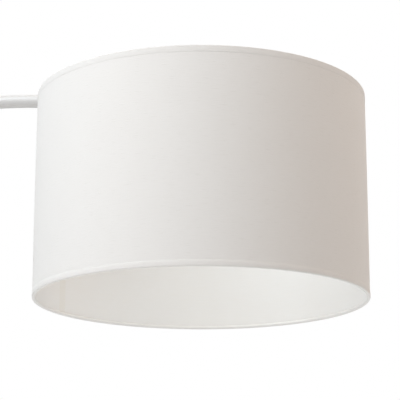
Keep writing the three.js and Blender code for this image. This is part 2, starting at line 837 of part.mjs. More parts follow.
function bulbInsulator() {
  const profile = [
    [5, BULB_CAP_TOP + 2],
    [6.5, BULB_CAP_TOP + 2],
    [11, BULB_CAP_TOP + GAP],
    [5, BULB_CAP_TOP + GAP],
  ];
  return turned(profile, TUBE_SIDES);
}

function bulbCap() {
  const wall = 0.6;
  const profile = [
    [4, BULB_CAP_TOP],
    [BULB_CAP_RADIUS - 2, BULB_CAP_TOP],
    [BULB_CAP_RADIUS, BULB_CAP_TOP - 3],
    [BULB_CAP_RADIUS, BULB_CAP_BOTTOM],
    [BULB_CAP_RADIUS - wall, BULB_CAP_BOTTOM],
    [BULB_CAP_RADIUS - wall, BULB_CAP_TOP - 3.2],
    [BULB_CAP_RADIUS - 2.2, BULB_CAP_TOP - wall],
    [4, BULB_CAP_TOP - wall],
  ];
  return turned(profile);
}

// The bulb's plastic body flares from the cap to the diffuser dome. It is open at both ends.
function bulbBody() {
  const wall = 1.6;
  const top = BULB_CAP_BOTTOM - GAP;
  const edgeRadius = BULB_RADIUS * Math.cos(DOME_EDGE_ANGLE);
  const bottom = DOME_EDGE + GAP;
  const profile = [
    [8, top],
    [BULB_CAP_RADIUS, top],
    [BULB_CAP_RADIUS + 2, top - 5],
    [edgeRadius - 4, bottom + 9],
    [edgeRadius, bottom],
    [edgeRadius - wall, bottom],
    [edgeRadius - 4 - wall, bottom + 9.5],
    [BULB_CAP_RADIUS + 2 - wall, top - 6],
    [8, top - wall],
  ];
  return turned(profile);
}

function bulbDome() {
  const steps = 6;
  const outer = [];
  const inner = [];
  for (let i = 0; i <= steps; i += 1) {
    const angle = THREE.MathUtils.lerp(DOME_EDGE_ANGLE, -Math.PI / 2, i / steps);
    const reach = i === steps ? 0 : Math.cos(angle);
    outer.push([BULB_RADIUS * reach, DOME_CENTRE + BULB_RADIUS * Math.sin(angle)]);
    const innerRadius = BULB_RADIUS - DOME_WALL;
    inner.push([innerRadius * reach, DOME_CENTRE + innerRadius * Math.sin(angle)]);
  }
  return turned([...outer.reverse(), ...inner]);
}

function ledBoard() {
  const radius = 22;
  return bar(radius, LED_BOARD_TOP - BOARD_THICKNESS, LED_BOARD_TOP);
}

function ledDriver() {
  const width = 13;
  const height = 22;
  return box(width, BOARD_THICKNESS, height, 0, 0, LED_BOARD_TOP + 1 + height / 2);
}

// ---------------------------------------------------------------- shade, in heights above the origin

const HEM_INSIDE_RADIUS = SHADE_RADIUS - HEM_TAPE;
const FABRIC_RADIUS = HEM_INSIDE_RADIUS - SHEET_GAP;
const LINING_RADIUS = FABRIC_RADIUS - FABRIC_THICKNESS - SHEET_GAP;
const LINING_BORE = LINING_RADIUS - LINING_THICKNESS;
const RING_RADIUS = LINING_BORE - SHEET_GAP - RING_WIRE_RADIUS;
const SHEET_INSET = HEM_TAPE + SHEET_GAP; // the sheet ends this far inside the folded hem
const SHEET_BOTTOM = SHADE_BOTTOM_Z + SHEET_INSET;
const SHEET_TOP = SHADE_TOP_Z - SHEET_INSET;
const RING_Z_FROM_EDGE = SHEET_INSET + RING_WIRE_RADIUS;

function shadeFabricSheet() {
  return ring(FABRIC_RADIUS - FABRIC_THICKNESS, FABRIC_RADIUS, SHEET_BOTTOM, SHEET_TOP, SHADE_SIDES);
}

function shadeLiningSheet() {
  return ring(LINING_BORE, LINING_RADIUS, SHEET_BOTTOM, SHEET_TOP, SHADE_SIDES);
}

// A hem tape folded over the shade's edge and round its ring. direction is +1 at the top edge.
function hem(edgeZ, direction) {
  const foldInside = RING_RADIUS - RING_WIRE_RADIUS - SHEET_GAP;
  const outerLip = edgeZ - direction * HEM_HEIGHT;
  const innerLip = edgeZ - direction * (RING_Z_FROM_EDGE + RING_WIRE_RADIUS + 2);
  const profile = [
    [SHADE_RADIUS, outerLip],
    [SHADE_RADIUS, edgeZ],
    [foldInside - HEM_TAPE, edgeZ],
    [foldInside - HEM_TAPE, innerLip],
    [foldInside, innerLip],
    [foldInside, edgeZ - direction * HEM_TAPE],
    [HEM_INSIDE_RADIUS, edgeZ - direction * HEM_TAPE],
    [HEM_INSIDE_RADIUS, outerLip],
  ];
  return turned(profile, SHADE_SIDES);
}

function spiderAzimuths() {
  return Array.from({ length: SPIDER_ARM_COUNT }, (_, i) => Math.PI + (2 * Math.PI * i) / SPIDER_ARM_COUNT);
}

// The top hem is slit where each spider arm leaves the ring.
function shadeTopHem() {
  const depth = 12; // of each slit along the radius and downward
  const width = 6;
  const middleRadius = RING_RADIUS - RING_WIRE_RADIUS - 4;
  const middleZ = SHADE_TOP_Z - HEM_TAPE - depth / 2;
  const slits = spiderAzimuths().map((azimuth) => (
    box(depth, width, depth, middleRadius, 0, middleZ).rotateZ(azimuth)
  ));
  return cut(hem(SHADE_TOP_Z, 1), ...slits);
}

// The welded wire frame: the top ring, three arms and the plate that the lamp holder clamps.
// Its heights are taken from the pivot.
function shadeSpider() {
  const ringZ = SHADE_TOP_Z - RING_Z_FROM_EDGE - PIVOT_Z;
  const topRing = wireRing(RING_RADIUS, RING_WIRE_RADIUS, ringZ, RING_WIRE_SIDES, SHADE_SIDES);
  const plate = ring(SKIRT_RADIUS + GAP, HUB_PLATE_RADIUS, HUB_PLATE_BOTTOM, HUB_PLATE_TOP);
  const arms = spiderAzimuths().map((azimuth) => {
    const arm = new THREE.LineCurve3(
      new THREE.Vector3(HUB_PLATE_RADIUS - 2, 0, HUB_PLATE_TOP + 1),
      new THREE.Vector3(RING_RADIUS - 0.5, 0, ringZ - 0.5),
    );
    return sweep(arm, 1, SPIDER_ARM_RADIUS, 0, SPIDER_ARM_SIDES).rotateZ(azimuth);
  });
  return joined(topRing, plate, ...arms);
}

function shadeBottomRing() {
  const height = SHADE_BOTTOM_Z + RING_Z_FROM_EDGE;
  return wireRing(RING_RADIUS, RING_WIRE_RADIUS, height, RING_WIRE_SIDES, SHADE_SIDES);
}

// ---------------------------------------------------------------- assembly

const group = new THREE.Group();

function place(parent, pieces) {
  for (const [name, geometry, material] of pieces) {
    const mesh = new THREE.Mesh(geometry, material);
    mesh.name = name;
    parent.add(mesh);
  }
}

// Base and pole stand on the origin.
place(group, [
  ['base_pad', basePad(), feltPad],
  ['base_weight', baseWeight(), castIron],
  ['base_cover', baseCover(), whitePaint],
  ['cable_grommet', cableGrommet(), blackRubber],
  ['base_nipple', baseNipple(), rawSteel],
  ['base_nut', baseNut(), rawSteel],
  ['base_washer', baseWasher(), rawSteel],
  ['foot_collar', footCollar(), whitePaint],
  ['pole_foot', poleFoot(), rawSteel],
  ['pole', pole(), whitePaint],
  ['pole_top_bush', poleTopBush(), whitePlastic],
  ['clamp_collar', clampCollar(), whitePaint],
  ['clamp_screw', clampScrew(), rawSteel],
  ['clamp_knob', clampKnob(), whitePlastic],
  ['pole_lead', poleLead(), leadSheath],
]);

// Leg and arc.
place(group, [
  ['leg_glide_bush', legGlideBush(), whitePlastic],
  ['leg_tube', legTube(), whitePaint],
  ['leg_coupler', legCoupler(), rawSteel],
  ['lower_arc', lowerArc(), whitePaint],
  ['upper_arc', upperArc(), whitePaint],
  ['arc_joint_ring', arcJointRing(), whitePaint],
  ['leg_joint_screw', jointScrew(LEG_SCREW_DEG, LOWER_TUBE_BORE - 0.2), rawSteel],
  ['arc_joint_screw', jointScrew(ARC_SCREW_DEG, LOWER_TUBE_BORE + 0.1), rawSteel],
  ['arm_lead', armLead(), leadSheath],
]);

// The knuckle's arm half stands in the arm tip's axes.
const armTip = new THREE.Group();
armTip.position.set(PIVOT_X, 0, PIVOT_Z);
armTip.rotation.y = ARM_TIP_ANGLE;
group.add(armTip);
place(armTip, [
  ['arm_end_plug', armEndPlug(), rawSteel],
  ['knuckle_upper', knuckleUpper(), whitePaint],
  ['friction_washer', frictionWasher(), fibreWasher],
  ['pivot_bolt', pivotBolt(), rawSteel],
  ['tilt_knob', tiltKnob(), whitePlastic],
]);

// The lamp holder, the bulb and the spider hang below the pivot.
const head = new THREE.Group();
head.position.set(PIVOT_X, 0, PIVOT_Z);
group.add(head);
place(head, [
  ['knuckle_lower', knuckleLower(), whitePaint],
  ['holder_nipple', holderNipple(), rawSteel],
  ['nipple_nut', nippleNut(), rawSteel],
  ['holder_cap', holderCap(), whitePlastic],
  ['holder_body', holderBody(), whitePlastic],
  ['holder_insert', holderInsert(), whitePlastic],
  ['holder_shell', holderShell(), brass],
  ['centre_contact', centreContact(), brass],
  ['shade_ring_nut', shadeRingNut(), whitePlastic],
  ['head_lead', headLead(), leadSheath],
  ['bulb_contact', bulbContact(), brass],
  ['bulb_insulator', bulbInsulator(), blackRubber],
  ['bulb_cap', bulbCap(), aluminium],
  ['bulb_body', bulbBody(), whitePlastic],
  ['led_driver', ledDriver(), circuitBoard],
  ['led_board', ledBoard(), aluminium],
  ['bulb_dome', bulbDome(), opalDiffuser],
  ['shade_spider', shadeSpider(), whitePaint],
]);

// The shade's sheets, hems and bottom ring are turned about its own axis.
const shade = new THREE.Group();
shade.position.set(PIVOT_X, 0, 0);
group.add(shade);
place(shade, [
  ['shade_fabric', shadeFabricSheet(), shadeFabric],
  ['shade_lining', shadeLiningSheet(), shadeLining],
  ['shade_top_hem', shadeTopHem(), shadeFabric],
  ['shade_bottom_hem', hem(SHADE_BOTTOM_Z, -1), shadeFabric],
  ['shade_bottom_ring', shadeBottomRing(), whitePaint],
]);

export default group;
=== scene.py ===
"""Arc floor lamp: the looks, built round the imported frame.

Outlines and sizes are in millimetres, in the frame's own axes (+Z up, the base on the origin), and
become metres where a mesh is made.
"""
import json
import math
from math import cos, pi, radians, sin, tau

import bmesh
import bpy
from mathutils import Matrix, Quaternion, Vector, noise

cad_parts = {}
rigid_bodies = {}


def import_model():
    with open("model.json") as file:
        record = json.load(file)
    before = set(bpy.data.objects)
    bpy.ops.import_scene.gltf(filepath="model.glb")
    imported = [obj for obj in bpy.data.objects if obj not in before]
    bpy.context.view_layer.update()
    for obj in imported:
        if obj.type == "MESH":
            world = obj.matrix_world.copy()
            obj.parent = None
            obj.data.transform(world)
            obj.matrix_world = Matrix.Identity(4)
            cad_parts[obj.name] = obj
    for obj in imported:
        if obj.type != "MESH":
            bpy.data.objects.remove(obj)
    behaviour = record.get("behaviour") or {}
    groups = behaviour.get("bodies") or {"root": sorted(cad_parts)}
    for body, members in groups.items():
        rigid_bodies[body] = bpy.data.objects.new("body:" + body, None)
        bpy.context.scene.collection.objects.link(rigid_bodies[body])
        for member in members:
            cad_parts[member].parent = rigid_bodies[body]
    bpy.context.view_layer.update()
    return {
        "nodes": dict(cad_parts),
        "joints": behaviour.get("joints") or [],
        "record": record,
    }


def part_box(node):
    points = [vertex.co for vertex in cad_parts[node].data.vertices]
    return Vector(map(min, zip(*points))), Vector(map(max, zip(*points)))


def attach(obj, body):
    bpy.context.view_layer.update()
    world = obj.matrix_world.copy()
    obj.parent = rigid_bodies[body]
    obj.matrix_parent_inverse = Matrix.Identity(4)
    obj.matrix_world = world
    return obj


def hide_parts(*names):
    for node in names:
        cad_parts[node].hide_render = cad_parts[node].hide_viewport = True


for leftover in list(bpy.data.objects):
    bpy.data.objects.remove(leftover)
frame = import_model()

# ------------ sizes, in millimetres

MM = 0.001
X, Y, Z = Vector((1, 0, 0)), Vector((0, 1, 0)), Vector((0, 0, 1))
TINY = 1e-6
GAP = 0.3  # the frame's clearance between pieces that touch

NODES = {name: obj.data.materials[0].name for name, obj in frame["nodes"].items()}
BODY_OF = {node: body for body, nodes in frame["record"]["behaviour"]["bodies"].items() for node in nodes}
JOINTS = {joint["name"]: joint for joint in frame["joints"]}

PIVOT = Vector(JOINTS["head_tilt"]["pos_m"]) / MM
SHADE_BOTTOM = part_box("shade_bottom_hem")[0].z / MM
SHADE_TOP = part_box("shade_top_hem")[1].z / MM
SHADE_RADIUS = (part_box("shade_top_hem")[1].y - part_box("shade_top_hem")[0].y) / 2 / MM
SHADE_HEIGHT = SHADE_TOP - SHADE_BOTTOM

HEM_TAPE = 0.4
HEM_WIDTH = 8.5  # how far each tape comes down or up the outside
TOP_LIP = 0.15  # how far the free edge of each tape stands off the fabric
BOTTOM_LIP = 0.08
TOP_PROUD = 0.25  # how far the rest of each tape stands off it
BOTTOM_PROUD = 0.5
TOP_CORNER = 0.6  # radius of the outside corner of each folded edge
BOTTOM_CORNER = 1.6
FABRIC = 0.4
LINING = 0.4
SHEET_GAP = 0.1
WIRE = 1.3  # radius of the shade's ring wire
FABRIC_RADIUS = SHADE_RADIUS - HEM_TAPE - SHEET_GAP
LINING_RADIUS = FABRIC_RADIUS - FABRIC - SHEET_GAP
RING_RADIUS = LINING_RADIUS - LINING - SHEET_GAP - WIRE
RING_FROM_EDGE = HEM_TAPE + SHEET_GAP + WIRE
SHEET_INSET = 2.1  # the sheets end this far inside the folded edges
SPIDER_ARM = 1.5  # radius of an arm's wire
SPIDER_AZIMUTHS = [pi + i * tau / 3 for i in range(3)]

SEAM_AZIMUTH = radians(171)  # where the shade's sheet overlaps itself
OVERLAP = 14
SEAM_HALF = OVERLAP / 2 / SHADE_RADIUS  # half of the overlap, as an angle
SEAM_STEP = 0.35  # how far the outer layer stands off over the inner one
PINCHES = [radians(degrees) for degrees in (77, 109.5, 133.5, 251, 318)]  # small tucks in the hems
PINCH_WIDTH = 1.6
PINCH_DEPTH = 0.7
PINCH_HEIGHT = 3  # a tuck fades over this much of the hem
PUCKERS_ROUND = 12  # uneven puckers of the hems: radius, height and depth of their noise
PUCKER_HEIGHT = 9
PUCKER_DEPTH = 0.12
PUCKER_SEEDS = {-1: 80, 1: 40}  # at the top and bottom edge
OVAL_DEPTH = 0.3  # how far the drum bulges out of round, twice and five times round
WAVE_DEPTH = 0.15

ARC_RADIUS = 1000
ARM_TIP_DROP = radians(20.3)
KNUCKLE_REACH = 25
TIP_DISTANCE = ARC_RADIUS * (pi / 2 + ARM_TIP_DROP)  # along the arc, from the top of the leg
ARC_CENTRE_Z = PIVOT.z + KNUCKLE_REACH * sin(ARM_TIP_DROP) - ARC_RADIUS * cos(ARM_TIP_DROP)
LOWER_TUBE = 11
UPPER_TUBE = 9.5
TUBE_WALL = 1.2
ARC_JOINT = ARC_RADIUS * radians(55)
UPPER_ARC_START = ARC_RADIUS * radians(52.25)
LEG_BOTTOM = 320

BASE_RADIUS = 170
COVER_SHEET = 1.2
COVER_FOOT = 3
COVER_EDGE = 28
COVER_HUB = 34
HUB_RADIUS = 24
POLE_RADIUS = 14
POLE_BORE = 12.5
POLE_TOP = 722
NIPPLE_RADIUS = 6.5
CLAMP_Z = 708
CLAMP_SCREW = 4
COLLAR_TOP = POLE_TOP + 7.3
GROMMET_Z = 8

# ------------ axes that pieces are turned about


def level(angle):
    """The level direction at an angle from +X."""
    return Vector((cos(angle), sin(angle), 0))


def straight(origin, side_a, side_b):
    """An axis through origin along side_a x side_b. It gives (centre, side, side) at a distance."""
    along = side_a.cross(side_b)

    def place(distance):
        return origin + along * distance, side_a, side_b

    return place


def arm_axis(distance):
    """The arm's axis, at a distance along the arc from the top of the leg. It runs straight past the tip."""
    angle = min(distance, TIP_DISTANCE) / ARC_RADIUS
    inward = Vector((cos(angle), 0, -sin(angle)))
    onward = inward.cross(Y)
    centre = Vector((ARC_RADIUS, 0, ARC_CENTRE_Z)) - inward * ARC_RADIUS
    return centre + onward * max(0, distance - TIP_DISTANCE), inward, Y


TIP_X = arm_axis(TIP_DISTANCE)[1]
TIP_Z = TIP_X.cross(Y)  # onward along the arm at its tip
upright = straight(Vector(), X, Y)
tip_axis = straight(PIVOT, TIP_X, Y)
tilt_axis = straight(PIVOT, TIP_Z, TIP_X)  # runs along +Y
head_axis = straight(PIVOT, X, Y)
shade_axis = straight(Vector((PIVOT.x, 0, 0)), X, Y)
clamp_axis = straight(Vector((0, 0, CLAMP_Z)), Z, Y)  # runs along -X
grommet_axis = straight(Vector((0, 0, GROMMET_Z)), Z, Y)

# ------------ mesh helpers


def rounded(*corners, step=radians(15)):
    """An outline from (radius, height) corners. A third number rounds its corner to that radius."""
    points = []
    for i, corner in enumerate(corners):
        here = Vector(corner[:2])
        if not any(corner[2:]):
            points.append(here)
            continue
        back = (Vector(corners[i - 1][:2]) - here).normalized()
        onward = (Vector(corners[(i + 1) % len(corners)][:2]) - here).normalized()
        half = back.angle(onward) / 2
        centre = here + (back + onward).normalized() * corner[2] / sin(half)
        start = (here + back * corner[2] / math.tan(half) - centre).normalized()
        end = (here + onward * corner[2] / math.tan(half) - centre).normalized()
        steps = max(2, math.ceil((pi - 2 * half) / step))
        points += [centre + start.slerp(end, k / steps) * corner[2] for k in range(steps + 1)]
    return points


def in_steps(outline, longest, closed):
    """The outline with its long sides divided."""
    points = []
    ends = outline[1:] + outline[:1] if closed else outline[1:]
    for start, end in zip(outline, ends):
        steps = max(1, math.ceil((end - start).length / longest))
        points += [start.lerp(end, k / steps) for k in range(steps)]
    return points if closed else points + outline[-1:]


def turned(name, outline, axis, segments=64, longest=1e9, relief=None):
    """A piece turned about an axis. An outline that starts off the axis closes on itself.

    segments is a count or a list of angles, and relief(angle, radius, height) gives a change of radius.
    The UV map "surface" holds metres round the piece and along its outline.
    """
    outline = [Vector(point) for point in outline]
    closed = outline[0].x > TINY
    outline = in_steps(outline, longest, closed)
    angles = [tau * i / segments for i in range(segments)] if isinstance(segments, int) else segments
    mesh = bmesh.new()
    surface = mesh.loops.layers.uv.new("surface")
    rings = []
    for radius, height in outline:
        centre, side_a, side_b = axis(height)
        ring = []
        for angle in angles if radius > TINY else angles[:1]:
            reach = radius + (relief(angle, radius, height) if relief else 0)
            outward = side_a * cos(angle) + side_b * sin(angle)
            ring.append(mesh.verts.new((centre + outward * reach) * MM))
        rings.append(ring if len(ring) > 1 else ring * len(angles))
    travelled = [0]
    for start, end in zip(outline, outline[1:] + outline[:1]):
        travelled.append(travelled[-1] + (end - start).length)
    widest = max(point.x for point in outline)
    for j in range(len(rings) if closed else len(rings) - 1):
        low, high = rings[j], rings[(j + 1) % len(rings)]
        for i, angle in enumerate(angles):
            after = (i + 1) % len(angles)
            next_angle = angles[after] if after else angles[0] + tau
            corners = [(low[i], angle, j), (low[after], next_angle, j)]
            corners += [(high[after], next_angle, j + 1), (high[i], angle, j + 1)]
            corners = [c for k, c in enumerate(corners) if c[0] not in [d[0] for d in corners[:k]]]
            face = mesh.faces.new([c[0] for c in corners])
            for loop, corner in zip(face.loops, corners):
                loop[surface].uv = (corner[1] * widest * MM, travelled[corner[2]] * MM)
    return as_object(name, mesh)


def linked(name, data):
    """A new object in the scene."""
    made = bpy.data.objects.new(name, data)
    bpy.context.scene.collection.objects.link(made)
    return made


def as_object(name, mesh):
    """A new object from a bmesh, with its faces pointing out."""
    bmesh.ops.recalc_face_normals(mesh, faces=mesh.faces)
    data = bpy.data.meshes.new(name)
    mesh.to_mesh(data)
    mesh.free()
    data.shade_smooth()
    return linked(name, data)


def applied(piece):
    """The piece with its modifiers made part of its mesh."""
    bpy.context.view_layer.update()
    shaped = piece.evaluated_get(bpy.context.evaluated_depsgraph_get())
    data = bpy.data.meshes.new_from_object(shaped)
    piece.modifiers.clear()
    piece.data = data
    return piece


def boolean(piece, tools, operation):
    for tool in tools:
        modifier = piece.modifiers.new(operation, "BOOLEAN")
        modifier.operation = operation
        modifier.solver = "MANIFOLD"
        modifier.object = tool
    applied(piece)
    for tool in tools:
        bpy.data.objects.remove(tool)
    return piece


def joined(piece, *others):
    return boolean(piece, others, "UNION")


def cut(piece, *tools):
    return boolean(piece, tools, "DIFFERENCE")


def cast(piece, voxel, softening):
    """Melts a joined piece into one soft-edged casting."""
    remesh = piece.modifiers.new("remesh", "REMESH")
    remesh.mode = "VOXEL"
    remesh.voxel_size = voxel * MM
    smooth = piece.modifiers.new("smooth", "SMOOTH")
    smooth.iterations = softening
    return applied(piece)


def rod(radius, low, high, axis, segments=48, edge=0.4):
    """A plain round bar with broken edges, which other pieces are joined from or cut with."""
    outline = rounded((0, low), (radius, low, edge), (radius, high, edge), (0, high))
    return turned("rod", outline, axis, segments)


def block(size, centre, axes, edge):
    """A box of a size along three axes, with its edges rounded."""
    mesh = bmesh.new()
    bmesh.ops.create_cube(mesh, size=1)
    mesh.transform(Matrix.Diagonal((*size, 1)))
    bmesh.ops.bevel(mesh, geom=mesh.edges[:], offset=edge, segments=3, profile=0.5, affect="EDGES")
    turn = Matrix(axes).transposed().to_4x4()
    mesh.transform(Matrix.Scale(MM, 4) @ Matrix.Translation(centre) @ turn)
    return as_object("block", mesh)


def wire(points, radius):
    """A round bar along a route of points."""
    curve = bpy.data.curves.new("wire", "CURVE")
    curve.dimensions = "3D"
    curve.bevel_depth = radius * MM
    curve.bevel_resolution = 4
    curve.use_fill_caps = True
    spline = curve.splines.new("POLY")
    spline.points.add(len(points) - 1)
    for place, point in zip(spline.points, points):
        place.co = (*(point * MM), 1)
    bent = linked("wire", curve)
    bpy.context.view_layer.update()
    data = bpy.data.meshes.new_from_object(bent.evaluated_get(bpy.context.evaluated_depsgraph_get()))
    bpy.data.objects.remove(bent)
    mesh = bmesh.new()
    mesh.from_mesh(data)
    bmesh.ops.remove_doubles(mesh, verts=mesh.verts, dist=TINY)
    bmesh.ops.recalc_face_normals(mesh, faces=mesh.faces)
    mesh.to_mesh(data)
    mesh.free()
    data.shade_smooth()
    return linked("wire", data)


def flutes(count, depth, start, full):
    """Relief of rounded flutes down a grip's side. They deepen from the radius start to full."""

    def relief(angle, radius, height):
        fade = min(1, max(0, (radius - start) / (full - start)))
        return -depth * fade * (0.5 + 0.5 * cos(count * angle)) ** 2

    return relief


def thread(pitch, depth, low, high, above):
    """Relief of a screw thread between two heights, where the radius is over a limit."""

    def relief(angle, radius, height):
        if radius < above or not low < height < high:
            return 0
        run_out = min(1, (height - low) / pitch, (high - height) / pitch)
        return -depth * run_out * (0.5 + 0.5 * cos(tau * height / pitch - angle))

    return relief


# ------------ materials


MIX_FIRST_COLOUR, MIX_SECOND_COLOUR, MIX_COLOUR_RESULT = 6, 7, 2  # a Mix node's colour sockets


class Look:
    """A material with one Principled shader and its nodes."""

    def __init__(self, name, colour, roughness, **sockets):
        self.material = bpy.data.materials.new(name)
        self.material.use_nodes = True
        self.tree = self.material.node_tree
        self.shader = self.tree.nodes["Principled BSDF"]
        self.colour = colour
        self.shader.inputs["Base Color"].default_value = (*colour, 1)
        self.shader.inputs["Roughness"].default_value = roughness
        for socket, value in sockets.items():
            label = socket.replace("_", " ").title().replace("Ior", "IOR")
            self.shader.inputs[label].default_value = value

    def node(self, kind, **settings):
        made = self.tree.nodes.new("ShaderNode" + kind)
        for name, value in settings.items():
            setattr(made, name, value)
        return made

    def feed(self, socket, value):
        if isinstance(value, bpy.types.NodeSocket):
            self.tree.links.new(value, socket)
        else:
            socket.default_value = value

    def math(self, operation, first, second=0.0):
        made = self.node("Math", operation=operation)
        self.feed(made.inputs[0], first)
        self.feed(made.inputs[1], second)
        return made.outputs[0]

    def total(self, first, *others):
        """The sum of one or more sockets."""
        for other in others:
            first = self.math("ADD", first, other)
        return first

    def place(self, uv_map=None, stretch=(1, 1, 1)):
        """The surface's own position in metres, or its place on a UV map, stretched."""
        if uv_map:
            source = self.node("UVMap", uv_map=uv_map).outputs["UV"]
        else:
            source = self.node("TexCoord").outputs["Object"]
        mapping = self.node("Mapping")
        self.feed(mapping.inputs["Vector"], source)
        mapping.inputs["Scale"].default_value = stretch
        return mapping.outputs["Vector"]

    def speckle(self, place, size_mm, detail=2.0, roughness=0.5):
        """Noise from 0 to 1 with blotches of about a size."""
        made = self.node("TexNoise")
        self.feed(made.inputs["Vector"], place)
        made.inputs["Scale"].default_value = 1 / (size_mm * MM)
        made.inputs["Detail"].default_value = detail
        made.inputs["Roughness"].default_value = roughness
        return made.outputs["Fac"]

    def spread(self, value, low, high, start=0.3, end=0.7):
        """Maps noise between two levels."""
        made = self.node("MapRange")
        self.feed(made.inputs["Value"], value)
        made.inputs["From Min"].default_value = start
        made.inputs["From Max"].default_value = end
        made.inputs["To Min"].default_value = low
        made.inputs["To Max"].default_value = high
        return made.outputs["Result"]

    def tint(self, amount, other):
        """Mixes the base colour toward another by an amount, and feeds the shader."""
        made = self.node("Mix", data_type="RGBA", clamp_factor=False)
        self.feed(made.inputs["Factor"], amount)
        made.inputs[MIX_FIRST_COLOUR].default_value = (*self.colour, 1)
        made.inputs[MIX_SECOND_COLOUR].default_value = (*other, 1)
        self.feed(self.shader.inputs["Base Color"], made.outputs[MIX_COLOUR_RESULT])

    def rough(self, value):
        self.feed(self.shader.inputs["Roughness"], value)

    def relief(self, *layers):
        """Bump of a real height. Each layer is a pattern with its full height in millimetres."""
        scaled = [self.math("MULTIPLY", pattern, full_height) for pattern, full_height in layers]
        made = self.node("Bump")
        made.inputs["Distance"].default_value = MM
        made.inputs["Strength"].default_value = 1
        self.feed(made.inputs["Height"], self.total(*scaled))
        self.feed(self.shader.inputs["Normal"], made.outputs["Normal"])


def powder_coat():
    """White stoved paint: orange peel, a fine grain in its gloss and a slow drift of tone. Its base colour
    is a grey darker than the white paint itself: painted shade on every painted part.
    """
    look = Look("white_paint_look", (0.64, 0.637, 0.63), 0.36)
    place = look.place()
    peel = look.speckle(place, 1.6, detail=1)
    grain = look.speckle(place, 0.5, detail=2)
    drift = look.speckle(place, 70)
    look.tint(look.spread(drift, 0, 0.6), (0.615, 0.615, 0.61))
    look.rough(look.spread(grain, 0.32, 0.42))
    look.relief((peel, 0.012), (grain, 0.004))
    return look.material


def plain_metal(name, colour, worn, roughness, grain_mm):
    """Rolled, plated or pressed metal with a fine uneven sheen."""
    look = Look(name, colour, roughness, metallic=1.0)
    cloud = look.speckle(look.place(), 12)
    grain = look.speckle(look.place(stretch=(1, 1, 6)), grain_mm, detail=3)
    look.tint(look.spread(cloud, 0, 0.7), worn)
    look.rough(look.spread(grain, roughness - 0.06, roughness + 0.1))
    look.relief((grain, 0.004))
    return look.material


def casting():
    """Sand-cast iron with a coarse skin."""
    look = Look("cast_iron_look", (0.05, 0.05, 0.052), 0.75, metallic=0.3)
    place = look.place()
    sand = look.speckle(place, 0.9, detail=4, roughness=0.7)
    cloud = look.speckle(place, 25)
    look.tint(look.spread(cloud, 0, 0.6), (0.1, 0.095, 0.09))
    look.rough(look.spread(sand, 0.6, 0.9))
    look.relief((sand, 0.25))
    return look.material


def moulded(name, colour, other, roughness, texture_mm=0.7, depth=0.006):
    """Moulded plastic or rubber: a fine spark texture and a slight drift of tone."""
    look = Look(name, colour, roughness)
    place = look.place()
    spark = look.speckle(place, texture_mm, detail=2, roughness=0.6)
    drift = look.speckle(place, 18)
    look.tint(look.spread(drift, 0, 0.8), other)
    look.rough(look.spread(spark, roughness - 0.05, roughness + 0.07))
    look.relief((spark, depth))
    return look.material


WARP_PITCH = 0.9
WEFT_PITCH = 0.8
PAINTED_GLOW = 1.5  # painted light: how much a hem's tape is lightened where it has turned to the inside, for light glowing through it
PAINTED_GLOW_START = 12.5  # from the free edge, along the fold
PAINTED_GLOW_END = 13.5


def woven(name, thick_yarn, thin_yarn, folded):
    """A fine plain weave with slubs along the weft, which runs round the shade."""
    look = Look(name, thick_yarn, 0.85, specular_ior_level=0.25, sheen_weight=0.25, sheen_roughness=0.45)
    around = look.place("surface")
    parts = look.node("SeparateXYZ")
    look.feed(parts.inputs[0], around)
    warp = look.math("SINE", look.math("MULTIPLY", parts.outputs["X"], tau / (WARP_PITCH * MM)))
    weft = look.math("SINE", look.math("MULTIPLY", parts.outputs["Y"], tau / (WEFT_PITCH * MM)))
    weave = look.math("MULTIPLY", warp, weft)
    slub = look.speckle(look.place("surface", stretch=(0.06, 1, 1)), 1.0, detail=2)
    # the rare thick slubs stand up in the bump and also darken the colour: painted shadow of the thick yarn
    rare_slub_and_shadow = look.speckle(look.place("surface", stretch=(0.12, 1, 1)), 1.3, detail=0)
    rare_slub_and_shadow = look.spread(rare_slub_and_shadow, 0, 1, 0.68, 0.8)
    end = look.speckle(look.place("surface", stretch=(1, 0.04, 1)), 0.8, detail=1)
    fuzz = look.speckle(around, 0.35, detail=2)
    cloud = look.speckle(around, 45)
    streaks = look.math("MULTIPLY", look.total(look.spread(slub, 0, 0.75), look.spread(end, 0, 0.25)), 0.75)
    shade = look.total(streaks, look.spread(cloud, 0, 0.25), rare_slub_and_shadow)
    bumps = [(weave, 0.012), (slub, 0.05), (rare_slub_and_shadow, 0.06), (end, 0.02), (fuzz, 0.02)]
    if folded:
        bumps.append((look.speckle(around, 9, detail=1), 0.15))
        # painted light: the tape's turned-in band is lightened for the glow of light coming through it
        glow_band = (PAINTED_GLOW_START * MM, PAINTED_GLOW_END * MM)
        shade = look.math("SUBTRACT", shade, look.spread(parts.outputs["Y"], 0, PAINTED_GLOW, *glow_band))
    look.tint(shade, thin_yarn)
    look.rough(look.spread(fuzz, 0.78, 0.92))
    look.relief(*bumps)
    return look.material


def lining_film():
    """Smooth white film, with the weave behind it just showing, and painted shade at the overlap for the
    light that the double layer holds back.
    """
    look = Look("shade_lining_look", (0.86, 0.86, 0.85), 0.45, specular_ior_level=0.4)
    around = look.place("surface")
    telegraph = look.speckle(look.place("surface", stretch=(0.08, 1, 1)), 1.6, detail=2)
    ripple = look.speckle(around, 30, detail=1)
    parts = look.node("SeparateXYZ")
    look.feed(parts.inputs[0], around)
    from_seam = look.math("SUBTRACT", parts.outputs["X"], SEAM_AZIMUTH * LINING_RADIUS * MM)
    # painted shade: the band over the overlap is darkened
    overlap_painted_shade = look.math("LESS_THAN", look.math("ABSOLUTE", from_seam), SEAM_HALF * LINING_RADIUS * MM)
    tone = look.total(look.spread(telegraph, 0, 0.3), look.math("MULTIPLY", overlap_painted_shade, 0.7))
    look.tint(tone, (0.835, 0.826, 0.79))
    look.rough(look.spread(ripple, 0.4, 0.52))
    look.relief((telegraph, 0.02), (ripple, 0.12))
    return look.material


